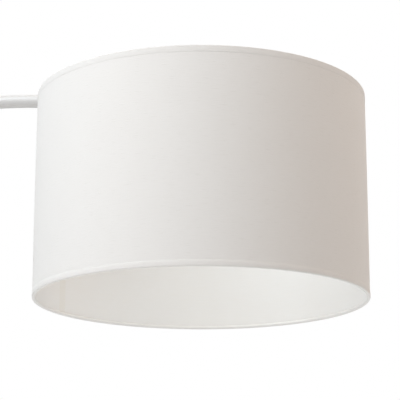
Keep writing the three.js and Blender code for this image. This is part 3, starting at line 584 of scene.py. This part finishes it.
def felt():
    look = Look("felt_pad_look", (0.022, 0.022, 0.024), 0.95, specular_ior_level=0.1, sheen_weight=0.6)
    fibre = look.speckle(look.place(stretch=(1, 1, 0.3)), 0.5, detail=5, roughness=0.8)
    look.tint(look.spread(fibre, 0, 1), (0.055, 0.055, 0.06))
    look.rough(look.spread(look.speckle(look.place(), 3), 0.88, 0.98))
    look.relief((fibre, 0.4))
    return look.material


def board():
    """A white-masked circuit board with bare pads."""
    look = Look("circuit_board_look", (0.78, 0.8, 0.77), 0.45)
    place = look.place()
    cells = look.node("TexVoronoi", feature="F1")
    look.feed(cells.inputs["Vector"], place)
    cells.inputs["Scale"].default_value = 1 / (4 * MM)
    look.tint(look.spread(cells.outputs["Distance"], 1, 0, 0.15, 0.2), (0.6, 0.55, 0.4))
    look.relief((look.speckle(place, 0.6), 0.02))
    return look.material


OFF_WHITE = (0.80, 0.795, 0.78)
LOOKS = {
    "white_paint": powder_coat(),
    "raw_steel": plain_metal("raw_steel_look", (0.52, 0.53, 0.54), (0.42, 0.43, 0.46), 0.34, 1.2),
    "cast_iron": casting(),
    "brass": plain_metal("brass_look", (0.72, 0.53, 0.25), (0.6, 0.43, 0.2), 0.3, 1.0),
    "aluminium": plain_metal("aluminium_look", (0.72, 0.73, 0.74), (0.62, 0.63, 0.65), 0.38, 1.4),
    "white_plastic": moulded("white_plastic_look", (0.8, 0.8, 0.785), (0.775, 0.775, 0.76), 0.42),
    "black_rubber": moulded(
        "black_rubber_look", (0.018, 0.018, 0.02), (0.03, 0.03, 0.032), 0.72, texture_mm=0.9, depth=0.02
    ),
    "lead_sheath": moulded(
        "lead_sheath_look", (0.74, 0.74, 0.72), (0.7, 0.7, 0.68), 0.5, texture_mm=1.2, depth=0.01
    ),
    "shade_fabric": woven("shade_fabric_look", OFF_WHITE, (0.777, 0.772, 0.754), folded=False),
    "shade_hem": woven("shade_hem_look", OFF_WHITE, (0.765, 0.76, 0.742), folded=True),
    "shade_lining": lining_film(),
    "opal_diffuser": moulded(
        "opal_diffuser_look", (0.86, 0.86, 0.84), (0.84, 0.84, 0.82), 0.35, texture_mm=1.5, depth=0.004
    ),
    "felt_pad": felt(),
    "fibre": moulded("fibre_look", (0.2, 0.11, 0.055), (0.27, 0.16, 0.085), 0.8, texture_mm=0.6, depth=0.03),
    "circuit_board": board(),
}


# ------------ how a piece joins the frame


CREASE = radians(32)  # edges sharper than this are shaded sharp


def keep(piece, node):
    """The piece stands for a node: it takes its body and that slot's material."""
    piece.name = node + "_look"
    piece.data.name = piece.name
    piece.data.materials.clear()
    piece.data.materials.append(LOOKS[NODES[node]])
    piece.data.set_sharp_from_angle(angle=CREASE)
    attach(piece, BODY_OF[node])
    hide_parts(node)
    return piece


# ------------ shade


def shade_angles():
    """Angles round the shade, with a close pair at each edge of the overlap for a crisp step."""
    step = radians(1)
    sliver = radians(0.06)  # between the angles of a pair
    edges = [SEAM_AZIMUTH - SEAM_HALF, SEAM_AZIMUTH + SEAM_HALF]
    angles = [i * step for i in range(360) if all(abs(i * step - edge) > step / 3 for edge in edges)]
    return sorted(angles + edges + [edges[0] - sliver, edges[1] + sliver])


SHADE_ANGLES = shade_angles()


def out_of_round(angle, height):
    """The slight waviness that a drum of stiffened cloth has between its two rings."""
    between_rings = sin(pi * min(1, max(0, (height - SHADE_BOTTOM) / SHADE_HEIGHT)))
    oval = OVAL_DEPTH * sin(2 * angle + 0.6)
    wave = WAVE_DEPTH * sin(5 * angle + 2.1)
    return between_rings * (oval + wave)


def overlap(angle, free_edge):
    """How far a layer stands off where the sheet laps itself.

    It is crisp at its free edge, on the side that free_edge says, and eased at the other.
    """
    place = (angle - SEAM_AZIMUTH) / SEAM_HALF * free_edge
    if abs(place) > 1.001:
        return 0
    eased_share = 0.6
    return SEAM_STEP * min(1, (place + 1) / eased_share)


SHEET_STEP = 12  # the longest side of a face of the sheets, up the shade


def shade_fabric():
    def relief(angle, radius, height):
        return out_of_round(angle, height) + overlap(angle, 1)

    inner = FABRIC_RADIUS - FABRIC
    low, high = SHADE_BOTTOM + SHEET_INSET, SHADE_TOP - SHEET_INSET
    outline = rounded((inner, low), (FABRIC_RADIUS, low), (FABRIC_RADIUS, high), (inner, high))
    return turned("fabric", outline, shade_axis, SHADE_ANGLES, SHEET_STEP, relief)


def shade_lining():
    def relief(angle, radius, height):
        return out_of_round(angle, height) - overlap(angle, -1)

    inner = LINING_RADIUS - LINING
    low, high = SHADE_BOTTOM + SHEET_INSET, SHADE_TOP - SHEET_INSET
    outline = rounded((inner, low), (LINING_RADIUS, low), (LINING_RADIUS, high), (inner, high))
    return turned("lining", outline, shade_axis, SHADE_ANGLES, SHEET_STEP, relief)


def hem(edge, inward, lip, proud, corner):
    """Self tape folded over the shade's edge and rolled round its ring. inward is -1 at the top edge."""
    fold = RING_RADIUS - WIRE - SHEET_GAP
    lining = LINING_RADIUS - LINING - SHEET_GAP
    wrap = WIRE + SHEET_GAP
    turn_out = 1.9  # the last of the inner leg, where it turns out to the lining
    turn_out_inside = 1.6
    tuck = RING_FROM_EDGE + WIRE + turn_out
    face = FABRIC_RADIUS + proud
    lean = 3  # the tape leans out from its free edge over this width
    lean_bend = 4

    def at(radius, depth, *fillet):
        return (radius, edge + inward * depth, *fillet)

    outline = rounded(
        at(FABRIC_RADIUS + 0.02, HEM_WIDTH, 0.05),
        at(FABRIC_RADIUS + lip, HEM_WIDTH, lip / 3),
        at(face, HEM_WIDTH - lean, lean_bend),
        at(face, 0, corner),
        at(fold - HEM_TAPE, 0, wrap + HEM_TAPE),
        at(fold - HEM_TAPE, tuck - turn_out_inside, 1.2),
        at(lining - HEM_TAPE, tuck, 0.15),
        at(lining, tuck - HEM_TAPE),
        at(fold, tuck - turn_out, 0.8),
        at(fold, HEM_TAPE, wrap),
        at(SHADE_RADIUS - HEM_TAPE, HEM_TAPE, corner - HEM_TAPE),
        at(SHADE_RADIUS - HEM_TAPE, HEM_WIDTH - lean, lean_bend),
        step=radians(18),
    )
    seed = PUCKER_SEEDS[inward]

    def relief(angle, radius, height):
        depth = (height - edge) * inward
        around = level(angle) * PUCKERS_ROUND
        pinch = sum(math.exp(-(((angle - place) * radius / PINCH_WIDTH) ** 2)) for place in PINCHES)
        pucker = noise.noise(around + Z * (height / PUCKER_HEIGHT + seed)) * PUCKER_DEPTH
        fine = noise.noise(around * 3 + Z * (height / (PUCKER_HEIGHT / 3) + seed)) * PUCKER_DEPTH / 2
        lap = overlap(angle, 1) if radius > LINING_RADIUS else -overlap(angle, -1)
        pinch_fade = math.exp(-((depth / PINCH_HEIGHT) ** 2))
        squeezed = pinch * PINCH_DEPTH * pinch_fade * (1 if radius < RING_RADIUS else -1)
        return out_of_round(angle, height) + lap + (pucker + fine) * min(1, depth / 2) + squeezed

    return turned("hem", outline, shade_axis, SHADE_ANGLES, 2.4, relief)


def top_hem():
    """The top hem is slit where each arm of the spider leaves the ring."""
    slit = (12, 5.5, 11)
    depth = 6.6  # of the slit's middle, under the shade's edge
    slits = []
    for azimuth in SPIDER_AZIMUTHS:
        outward = level(azimuth)
        centre = Vector((PIVOT.x, 0, SHADE_TOP - depth)) + outward * (RING_RADIUS - WIRE - 4)
        slits.append(block(slit, centre, (outward, Z.cross(outward), Z), edge=0.5))
    return cut(hem(SHADE_TOP, -1, TOP_LIP, TOP_PROUD, TOP_CORNER), *slits)


def circle(radius, middle_radius, middle_height, steps=16):
    angles = [tau * i / steps for i in range(steps)]
    return [(middle_radius + radius * cos(a), middle_height + radius * sin(a)) for a in angles]


HOLDER_SHOULDER = -50  # below the pivot, where the shade's plate sits
PLATE_TOP = HOLDER_SHOULDER - GAP
PLATE_RADIUS = 29
PLATE_SHEET = 2
SKIRT_RADIUS = 19.7


def shade_spider():
    """The welded frame: a ring, a plate with its rim turned and three arms with a bend at each end."""
    ring_height = SHADE_TOP - RING_FROM_EDGE - PIVOT.z
    ring = turned("ring", circle(WIRE, RING_RADIUS, ring_height), head_axis, 360)
    bore = SKIRT_RADIUS + GAP
    plate_outline = rounded(
        (bore, PLATE_TOP - PLATE_SHEET, 0.4),
        (PLATE_RADIUS, PLATE_TOP - PLATE_SHEET, 0.8),
        (PLATE_RADIUS, PLATE_TOP, 0.8),
        (bore, PLATE_TOP, 0.4),
    )
    plate = turned("plate", plate_outline, head_axis, 96)
    added = [plate]
    for azimuth in SPIDER_AZIMUTHS:
        outward = level(azimuth)

        def at(radius, height):
            return PIVOT + outward * radius + Z * height

        on_plate = PLATE_TOP + SPIDER_ARM - 0.4  # pressed a little into the plate, as a weld is
        foot = at(PLATE_RADIUS - 5, on_plate)
        bend = at(PLATE_RADIUS + 2, on_plate)
        crook = at(RING_RADIUS - 8, ring_height - 1)
        end = at(RING_RADIUS - 0.6, ring_height - 0.4)
        added.append(wire(bends([foot, bend, crook, end], 5), SPIDER_ARM))
        added.append(bead(at(RING_RADIUS - 1.3, ring_height - 0.5), (2.2, 1.9, 1.7), outward))
        added.append(bead(foot - Z * 1.0, (3.4, 2.3, 1.3), outward))
    return joined(ring, *added)


def bends(points, radius, steps=6):
    """A route through points with each corner replaced by a round bend."""
    route = [points[0]]
    for before, corner, after in zip(points, points[1:], points[2:]):
        back = (before - corner).normalized()
        onward = (after - corner).normalized()
        for k in range(steps + 1):
            t = k / steps
            start, end = corner + back * radius, corner + onward * radius
            route.append(start.lerp(corner, t).lerp(corner.lerp(end, t), t))
    return route + points[-1:]


def bead(centre, size, outward):
    """A lump of weld, longer along outward."""
    mesh = bmesh.new()
    bmesh.ops.create_icosphere(mesh, subdivisions=3, radius=1)
    for vert in mesh.verts:
        vert.co *= 1 + 0.12 * noise.noise(vert.co * 2.3 + centre * 0.1)
    turn = Matrix((outward, Z.cross(outward), Z)).transposed().to_4x4()
    mesh.transform(Matrix.Scale(MM, 4) @ Matrix.Translation(centre) @ turn @ Matrix.Diagonal((*size, 1)))
    return as_object("bead", mesh)


def bottom_ring():
    outline = circle(WIRE, RING_RADIUS, SHADE_BOTTOM + RING_FROM_EDGE)
    return turned("ring", outline, shade_axis, 240)


def make_shade():
    fabric = keep(shade_fabric(), "shade_fabric")
    lining = keep(shade_lining(), "shade_lining")
    spider = keep(shade_spider(), "shade_spider")
    ring = keep(bottom_ring(), "shade_bottom_ring")
    top = keep(top_hem(), "shade_top_hem")
    bottom = keep(hem(SHADE_BOTTOM, 1, BOTTOM_LIP, BOTTOM_PROUD, BOTTOM_CORNER), "shade_bottom_hem")


# ------------ lamp holder and bulb


def hexagon(across_flats, low, high, axis):
    corner = across_flats / math.sqrt(3)
    return turned("hexagon", [(0, low), (corner, low), (corner, high), (0, high)], axis, 6)


CAP_TOP = -24.3
CAP_RADIUS = 20.5
CAP_BOTTOM = CAP_TOP - 17.7
SKIRT_BOTTOM = HOLDER_SHOULDER - 36
STUD = 5


def holder_cap():
    wall = 2
    outline = rounded(
        (STUD + GAP, CAP_TOP, 0.4),
        (12, CAP_TOP, 2),
        (18, CAP_TOP - 4, 4),
        (CAP_RADIUS, CAP_TOP - 10, 3),
        (CAP_RADIUS, CAP_BOTTOM, 0.5),
        (CAP_RADIUS - wall, CAP_BOTTOM),
        (CAP_RADIUS - wall, CAP_TOP - 10.5),
        (17 - wall / 2, CAP_TOP - 5.5),
        (11, CAP_TOP - wall),
        (STUD + GAP, CAP_TOP - wall),
    )
    return turned("cap", outline, head_axis, 144, 2, flutes(36, 0.35, CAP_RADIUS - 0.3, CAP_RADIUS))


def holder_body():
    bore = 16.3
    shoulder = CAP_RADIUS + 3.5
    outline = rounded(
        (bore, CAP_BOTTOM - GAP, 0.3),
        (CAP_RADIUS, CAP_BOTTOM - GAP, 0.4),
        (CAP_RADIUS, CAP_BOTTOM - 4, 0.8),
        (shoulder, CAP_BOTTOM - 5.5, 0.7),
        (shoulder, HOLDER_SHOULDER, 0.6),
        (SKIRT_RADIUS, HOLDER_SHOULDER, 0.3),
        (SKIRT_RADIUS, SKIRT_BOTTOM, 0.8),
        (bore, SKIRT_BOTTOM, 0.6),
    )
    relief = thread(3, 0.8, SKIRT_BOTTOM + 1, HOLDER_SHOULDER - 1, SKIRT_RADIUS - 0.1)
    return turned("body", outline, head_axis, 96, 0.5, relief)


def ring_nut():
    top = PLATE_TOP - PLATE_SHEET - GAP
    grip = PLATE_RADIUS - 1
    outline = rounded(
        (SKIRT_RADIUS + GAP, top, 0.3),
        (grip, top, 0.4),
        (grip, top - 2, 0.5),
        (grip - 3, top - 8, 1.2),
        (SKIRT_RADIUS + GAP, top - 8, 0.4),
    )
    return turned("nut", outline, head_axis, 192, 1, flutes(24, 1.0, grip - 4, grip - 2))


BULB_TOP = CAP_BOTTOM - 11.8
BULB_CAP_TOP = BULB_TOP - 3
BULB_CAP_BOTTOM = BULB_CAP_TOP - 24
BULB_CAP_RADIUS = 13
BULB_RADIUS = 30
DOME_CENTRE = BULB_TOP - 110 + BULB_RADIUS
DOME_EDGE = radians(25)


def bulb_cap():
    """The screw cap, with a rolled thread."""
    wall = 0.6
    outline = rounded(
        (4, BULB_CAP_TOP),
        (BULB_CAP_RADIUS - 2, BULB_CAP_TOP, 0.8),
        (BULB_CAP_RADIUS, BULB_CAP_TOP - 3, 1),
        (BULB_CAP_RADIUS, BULB_CAP_BOTTOM),
        (BULB_CAP_RADIUS - wall, BULB_CAP_BOTTOM),
        (BULB_CAP_RADIUS - wall, BULB_CAP_TOP - 3.2),
        (BULB_CAP_RADIUS - 2.2, BULB_CAP_TOP - wall),
        (4, BULB_CAP_TOP - wall),
    )
    rolled = thread(3.6, 1.1, BULB_CAP_BOTTOM + 3, BULB_CAP_TOP - 2, BULB_CAP_RADIUS - 1)
    return turned("cap", outline, head_axis, 96, 0.5, rolled)


def bulb_body():
    wall = 1.6
    top = BULB_CAP_BOTTOM - GAP
    edge = BULB_RADIUS * cos(DOME_EDGE)
    bottom = DOME_CENTRE + BULB_RADIUS * sin(DOME_EDGE) + GAP
    outline = rounded(
        (8, top),
        (BULB_CAP_RADIUS, top, 0.5),
        (BULB_CAP_RADIUS + 2, top - 5, 6),
        (edge - 4, bottom + 9, 20),
        (edge, bottom, 0.3),
        (edge - wall, bottom),
        (edge - 4 - wall, bottom + 9.5, 18),
        (BULB_CAP_RADIUS + 2 - wall, top - 6, 5),
        (8, top - wall),
        step=radians(4),
    )
    return turned("body", outline, head_axis, 96, 3)


def bulb_dome():
    wall = 1.2
    steps = 24
    angles = [DOME_EDGE + (-pi / 2 - DOME_EDGE) * i / steps for i in range(steps + 1)]
    outer = [(BULB_RADIUS * cos(a), DOME_CENTRE + BULB_RADIUS * sin(a)) for a in angles]
    inside = BULB_RADIUS - wall
    inner = [(inside * cos(a), DOME_CENTRE + inside * sin(a)) for a in reversed(angles)]
    inner[0] = (0, DOME_CENTRE - inside)
    outer[-1] = (0, DOME_CENTRE - BULB_RADIUS)
    return turned("dome", [*reversed(outer), *reversed(inner)], head_axis, 96)


def make_holder_and_bulb():
    keep(holder_cap(), "holder_cap")
    keep(holder_body(), "holder_body")
    keep(ring_nut(), "shade_ring_nut")
    keep(bulb_cap(), "bulb_cap")
    keep(bulb_body(), "bulb_body")
    keep(bulb_dome(), "bulb_dome")


# ------------ knuckle

DISC_RADIUS = 13
DISC_INNER = 0.8
DISC_OUTER = 7.8
NECK_RADIUS = 9
NECK_START = DISC_RADIUS + 2 * GAP
BOLT_RADIUS = 3


def knuckle_half(side, along, across, neck_end):
    """A disc beside the middle plane, a web and a neck that runs along minus along, all one casting."""
    middle = side * (DISC_INNER + DISC_OUTER) / 2
    thickness = DISC_OUTER - DISC_INNER
    neck_axis = straight(PIVOT, across, Y)
    disc_axis = straight(PIVOT, along, across)
    disc = rod(DISC_RADIUS, middle - thickness / 2, middle + thickness / 2, disc_axis, 96, 1.0)
    web_length = NECK_START + 4
    web_centre = PIVOT + Y * middle - along * web_length / 2
    web = block((2 * NECK_RADIUS - 4, thickness, web_length), web_centre, (across, Y, along), edge=0.8)
    neck = rod(NECK_RADIUS, neck_end, -NECK_START, neck_axis, 72, 0.8)
    return cast(joined(disc, web, neck), 0.4, 5)


def bolt_hole():
    return rod(BOLT_RADIUS + GAP, -20, 20, tilt_axis)


def knuckle_upper():
    """The arm's half, with a stud that goes into the end plug and a bore for the lead."""
    neck_end = -KNUCKLE_REACH + 2.8
    half = knuckle_half(-1, TIP_Z, TIP_X, neck_end)
    stud = rod(STUD, neck_end - 17, neck_end + 1, tip_axis)
    lead_bore = rod(2.8, neck_end - 20, -NECK_START - 2, tip_axis)
    return cut(joined(half, stud), lead_bore, bolt_hole())


def knuckle_lower():
    """The lamp holder's half, bored for the nipple."""
    half = knuckle_half(1, Z, X, CAP_TOP + GAP)
    nipple_hole = rod(STUD + GAP, CAP_TOP - 2, -NECK_START - 2, head_axis)
    return cut(half, nipple_hole, bolt_hole())


def pivot_bolt():
    """A socket-head bolt."""
    under_head = -DISC_OUTER - GAP
    head_radius, head_height = 5, 4.5
    end = 18
    outline = rounded(
        (0, under_head - head_height),
        (head_radius, under_head - head_height, 0.6),
        (head_radius, under_head, 0.2),
        (BOLT_RADIUS, under_head),
        (BOLT_RADIUS, end, 0.5),
        (0, end),
    )
    bolt = turned("bolt", outline, tilt_axis, 48, 0.4, thread(1, 0.4, 6, end, BOLT_RADIUS - 0.1))
    return cut(bolt, hexagon(5, under_head - 6, under_head - 2, tilt_axis))


def grip_knob(radius, low, length, hole, hole_depth, axis, lobes):
    """A round grip with flutes, a dished end and a blind hole for its screw."""
    end = low + length
    neck = radius * 0.6
    dish = radius * 0.5
    dish_floor = end - 0.8
    outline = rounded(
        (0, low + hole_depth),
        (hole, low + hole_depth),
        (hole, low, 0.3),
        (neck, low, 0.4),
        (neck, low + 3, 0.8),
        (radius, low + 4, 0.8),
        (radius, end, 2.2),
        (dish, end, 1.2),
        (dish - 1, dish_floor, 0.6),
        (0, dish_floor),
    )
    return turned("knob", outline, axis, lobes * 12, 1.2, flutes(lobes, radius * 0.09, neck, radius))


def end_plug():
    """The pressed plug whose flange closes the arm's end."""
    bore = STUD + GAP
    inside = UPPER_TUBE - TUBE_WALL - 0.7
    start, end = TIP_DISTANCE - 16, TIP_DISTANCE + 2.5
    under_flange = TIP_DISTANCE + GAP
    outline = rounded(
        (bore, start, 0.3),
        (inside, start, 0.8),
        (inside, under_flange),
        (UPPER_TUBE, under_flange, 0.2),
        (UPPER_TUBE, end, 0.7),
        (bore, end, 0.3),
    )
    return turned("plug", outline, arm_axis, 64)


def friction_washer():
    bore, outer, half = BOLT_RADIUS + GAP, DISC_RADIUS - 1, 0.5
    outline = rounded((bore, -half), (outer, -half, 0.2), (outer, half, 0.2), (bore, half))
    return turned("washer", outline, tilt_axis)


def make_knuckle():
    keep(end_plug(), "arm_end_plug")
    keep(knuckle_upper(), "knuckle_upper")
    keep(knuckle_lower(), "knuckle_lower")
    keep(pivot_bolt(), "pivot_bolt")
    keep(friction_washer(), "friction_washer")
    bolt = BOLT_RADIUS + GAP
    knob = grip_knob(11, DISC_OUTER + GAP, 14, hole=bolt, hole_depth=11, axis=tilt_axis, lobes=16)
    keep(knob, "tilt_knob")


# ------------ arm


def tube(outer, wall, low, high, axis, longest):
    bore = outer - wall
    outline = rounded((bore, low, 0.2), (outer, low, 0.4), (outer, high, 0.4), (bore, high, 0.2))
    return turned("tube", outline, axis, 72, longest)


SCREW_RADIUS = 2
LEG_SCREW = ARC_RADIUS * radians(0.55)  # places along the arc
ARC_SCREW = ARC_RADIUS * radians(54)


def screw_axis(distance):
    """From the arm's centre line to the inside of the bend."""
    centre, inward, side = arm_axis(distance)
    return straight(centre, side, inward.cross(side))


def joint_screw(distance, tip):
    """A grub screw with a hexagon socket."""
    axis = screw_axis(distance)
    screw = rod(SCREW_RADIUS, tip, LOWER_TUBE, axis, 32, 0.3)
    return cut(screw, hexagon(2, LOWER_TUBE - 1, LOWER_TUBE + 1, axis))


ARC_STEP = 8  # the longest side of a face along the bent tubes


def lower_arc():
    arc = tube(LOWER_TUBE, TUBE_WALL, GAP / 2, ARC_JOINT, arm_axis, ARC_STEP)
    holes = [rod(SCREW_RADIUS + GAP, 5, 15, screw_axis(at), 32) for at in (LEG_SCREW, ARC_SCREW)]
    return cut(arc, *holes)


def joint_ring():
    start = ARC_RADIUS * radians(55.02)
    end = ARC_RADIUS * radians(55.52)
    outer, bore = LOWER_TUBE + 1, UPPER_TUBE + GAP
    outline = rounded((bore, start, 0.2), (outer, start, 0.8), (outer, end, 1.6), (bore, end, 0.4))
    return turned("ring", outline, arm_axis, 96, 2)


def make_arm():
    leg_top = ARC_CENTRE_Z - GAP / 2
    keep(tube(LOWER_TUBE, TUBE_WALL, LEG_BOTTOM + GAP, leg_top, upright, 60), "leg_tube")
    keep(lower_arc(), "lower_arc")
    keep(tube(UPPER_TUBE, TUBE_WALL, UPPER_ARC_START, TIP_DISTANCE, arm_axis, ARC_STEP), "upper_arc")
    keep(joint_ring(), "arc_joint_ring")
    keep(joint_screw(LEG_SCREW, LOWER_TUBE - TUBE_WALL - 0.2), "leg_joint_screw")
    keep(joint_screw(ARC_SCREW, LOWER_TUBE - TUBE_WALL + 0.1), "arc_joint_screw")


# ------------ base and pole


def base_cover():
    """Spun sheet: a skirt, a rolled shoulder and a low cone up to the hub."""
    sheet, edge = COVER_SHEET, BASE_RADIUS
    bore = NIPPLE_RADIUS + GAP
    shoulder, hub_bend = 8, 12
    outline = rounded(
        (edge, COVER_FOOT, 0.5),
        (edge, COVER_EDGE, shoulder),
        (HUB_RADIUS, COVER_HUB, hub_bend),
        (bore, COVER_HUB, 0.3),
        (bore, COVER_HUB - sheet, 0.3),
        (HUB_RADIUS, COVER_HUB - sheet, hub_bend),
        (edge - sheet, COVER_EDGE - sheet, shoulder - sheet),
        (edge - sheet, COVER_FOOT, 0.5),
        step=radians(8),
    )
    cover = turned("cover", outline, upright, 240, 12)
    return cut(cover, rod(5, BASE_RADIUS - 10, BASE_RADIUS + 10, grommet_axis, 48, 0))


def base_pad():
    """Cut felt, with a slightly furry edge."""
    edge, thickness = 156, 2
    fur, fur_depth = 60, 0.35  # radius of the noise, so how fine it is, and its depth

    def relief(angle, radius, height):
        if radius < edge - 6:
            return 0
        return fur_depth * noise.noise(level(angle) * fur + Z * height)

    outline = rounded((0, 0), (edge, 0, 0.3), (edge, thickness, 0.5), (0, thickness))
    return turned("pad", outline, upright, 360, 20, relief)


def grommet():
    """A flange on each side of the cover's wall."""
    flange = 1.6
    bore, waist, rim = 2.8, 4.7, 6.4
    inside, outside = BASE_RADIUS - COVER_SHEET - 2 * GAP, BASE_RADIUS + GAP
    outline = rounded(
        (bore, inside - flange, 0.4),
        (rim, inside - flange, 0.5),
        (rim, inside),
        (waist, inside),
        (waist, outside),
        (rim, outside, 0.3),
        (rim - 0.8, outside + flange, 0.7),
        (bore, outside + flange, 0.5),
    )
    return turned("grommet", outline, grommet_axis, 64)


def foot_collar():
    bottom = COVER_HUB + GAP
    top = bottom + 14
    bore = POLE_RADIUS + GAP
    outline = rounded(
        (bore, bottom, 0.2),
        (HUB_RADIUS, bottom, 0.4),
        (HUB_RADIUS, bottom + 3, 1.2),
        (POLE_RADIUS + 4, bottom + 10, 6),
        (POLE_RADIUS + 3, top, 0.8),
        (bore, top, 0.3),
        step=radians(8),
    )
    return turned("collar", outline, upright, 120)


def clamp_hole():
    return rod(CLAMP_SCREW + GAP, 8, 60, clamp_axis, 48, 0)


def clamp_collar():
    """A cast collar with a boss for the clamp screw."""
    outer = POLE_RADIUS + 5
    low = CLAMP_Z - 18
    outline = rounded((0, low), (outer, low, 1.5), (outer, COLLAR_TOP, 3), (0, COLLAR_TOP))
    blank = turned("collar", outline, upright, 120, 6)
    boss = rod(9, POLE_RADIUS - 6, POLE_RADIUS + 15, clamp_axis, 72, 0.8)
    body = cast(joined(blank, boss), 0.5, 6)
    pole_bore = rod(POLE_RADIUS + GAP, CLAMP_Z - 20, POLE_TOP + 3.3, upright, 96, 0)
    leg_bore = rod(LOWER_TUBE + 2 * GAP, CLAMP_Z, COLLAR_TOP + 5, upright, 96, 0)
    return cut(body, pole_bore, leg_bore, clamp_hole())


def pole():
    piece = tube(POLE_RADIUS, POLE_RADIUS - POLE_BORE, COVER_HUB + GAP, POLE_TOP, upright, 60)
    return cut(piece, clamp_hole())


def clamp_screw():
    tip = LOWER_TUBE + GAP
    end = POLE_RADIUS + 30
    outline = rounded((0, tip), (CLAMP_SCREW, tip, 0.8), (CLAMP_SCREW, end, 0.3), (0, end))
    relief = thread(1.25, 0.6, tip, end, CLAMP_SCREW - 0.1)
    return turned("screw", outline, clamp_axis, 48, 0.3, relief)


def make_base():
    keep(base_cover(), "base_cover")
    keep(base_pad(), "base_pad")
    keep(grommet(), "cable_grommet")
    keep(foot_collar(), "foot_collar")
    keep(pole(), "pole")
    keep(clamp_collar(), "clamp_collar")
    keep(clamp_screw(), "clamp_screw")
    screw = CLAMP_SCREW + GAP
    knob = grip_knob(16, POLE_RADIUS + 16, 18, hole=screw, hole_depth=14 + GAP, axis=clamp_axis, lobes=12)
    keep(knob, "clamp_knob")


def dress_plain_nodes():
    """Frame nodes that stay get their slot's material."""
    for name, node in frame["nodes"].items():
        if not node.hide_render:
            node.material_slots[0].material = LOOKS[NODES[name]]


# ------------ stage, light and camera

VIEW_AZIMUTH = radians(20)  # the camera looks this far round from straight along +Y
VIEW_PITCH = 0.2539  # radians
VIEW_YAW = -0.0008
VIEW_ROLL = 0.0012
VIEW_DISTANCE = 2.002  # metres, level, from the shade's axis
VIEW_BELOW_SHADE = 0.380
VIEW_LENS = 137.05  # millimetres
SENSOR = 36

FLOOR_GLOW = 0.6  # keeps the floor pale, and hides the edges of the lights' pools on it
AMBIENT = 0.06
LIGHT_DISTANCE = 3.0
LIGHT_SIZE = 1.6
DAYLIGHT = (0.82, 0.92, 1.0)
WHITE_LIGHT = (1.0, 0.97, 0.92)
PEACH_LIGHT = (1.0, 0.82, 0.76)
AMBER_LIGHT = (1.0, 0.4, 0.05)
# name, degrees round from the camera, degrees above the shade, watts, colour
LIGHTS = [
    ("key", -60, 35, 44, DAYLIGHT),
    ("left", -90, 35, 14, WHITE_LIGHT),
    ("front", -30, 8, 14, PEACH_LIGHT),
    ("overhead", 0, 65, 55, WHITE_LIGHT),
    ("back", 120, 15, 18, WHITE_LIGHT),
    ("warm_fill", 90, 35, 12, AMBER_LIGHT),
]


def make_camera():
    data = bpy.data.cameras.new("camera")
    data.sensor_width = SENSOR
    data.lens = VIEW_LENS
    camera = linked("camera", data)
    ahead = Vector((-sin(VIEW_AZIMUTH), cos(VIEW_AZIMUTH), 0))
    under_shade = Vector((PIVOT.x * MM, 0, SHADE_BOTTOM * MM - VIEW_BELOW_SHADE))
    camera.location = under_shade - ahead * VIEW_DISTANCE
    aim = VIEW_AZIMUTH - VIEW_YAW
    forward = Vector((-sin(aim), cos(aim), 0))
    look = forward * cos(VIEW_PITCH) + Z * sin(VIEW_PITCH)
    camera.rotation_mode = "QUATERNION"
    camera.rotation_quaternion = look.to_track_quat("-Z", "Y") @ Quaternion(Z, VIEW_ROLL)
    bpy.context.scene.camera = camera


def make_floor():
    bpy.ops.mesh.primitive_plane_add(size=60)
    floor = bpy.context.object
    floor.name = "floor"
    look = Look("floor_look", (0.45, 0.45, 0.445), 0.7, emission_strength=FLOOR_GLOW)
    look.shader.inputs["Emission Color"].default_value = (1, 1, 1, 1)
    look.tint(look.spread(look.speckle(look.place(), 400), 0, 1), (0.44, 0.44, 0.435))
    floor.data.materials.append(look.material)


def soft_light(name, azimuth, elevation, power, colour):
    """A square soft light that faces the shade's middle, placed in degrees round from the camera."""
    middle = Vector((PIVOT.x, 0, (SHADE_BOTTOM + SHADE_TOP) / 2)) * MM
    turn = radians(azimuth) + VIEW_AZIMUTH
    rise = radians(elevation)
    toward = Vector((sin(turn) * cos(rise), -cos(turn) * cos(rise), sin(rise)))
    data = bpy.data.lights.new(name, "AREA")
    data.size = LIGHT_SIZE
    data.energy = power
    data.color = colour
    light = linked(name, data)
    light.location = middle + toward * LIGHT_DISTANCE
    light.rotation_euler = (-toward).to_track_quat("-Z", "Y").to_euler()


def make_world():
    """White behind the lamp and in its gloss, and a weaker even light on the lamp itself."""
    world = bpy.data.worlds.new("studio")
    bpy.context.scene.world = world
    world.use_nodes = True
    tree = world.node_tree
    even = tree.nodes["Background"]
    even.inputs["Color"].default_value = (1.0, 0.985, 0.965, 1)
    even.inputs["Strength"].default_value = AMBIENT
    backdrop = tree.nodes.new("ShaderNodeBackground")
    backdrop.inputs["Color"].default_value = (1, 1, 1, 1)
    seen = tree.nodes.new("ShaderNodeLightPath")
    choice = tree.nodes.new("ShaderNodeMixShader")
    bright = tree.nodes.new("ShaderNodeMath")
    bright.operation = "MAXIMUM"
    tree.links.new(seen.outputs["Is Camera Ray"], bright.inputs[0])
    tree.links.new(seen.outputs["Is Glossy Ray"], bright.inputs[1])
    tree.links.new(bright.outputs[0], choice.inputs[0])
    tree.links.new(even.outputs[0], choice.inputs[1])
    tree.links.new(backdrop.outputs[0], choice.inputs[2])
    tree.links.new(choice.outputs[0], tree.nodes["World Output"].inputs["Surface"])


make_camera()
make_shade()
make_holder_and_bulb()
make_knuckle()
make_arm()
make_base()
dress_plain_nodes()
make_floor()
make_world()
for settings in LIGHTS:
    soft_light(*settings)
bpy.context.scene.view_settings.view_transform = "Standard"
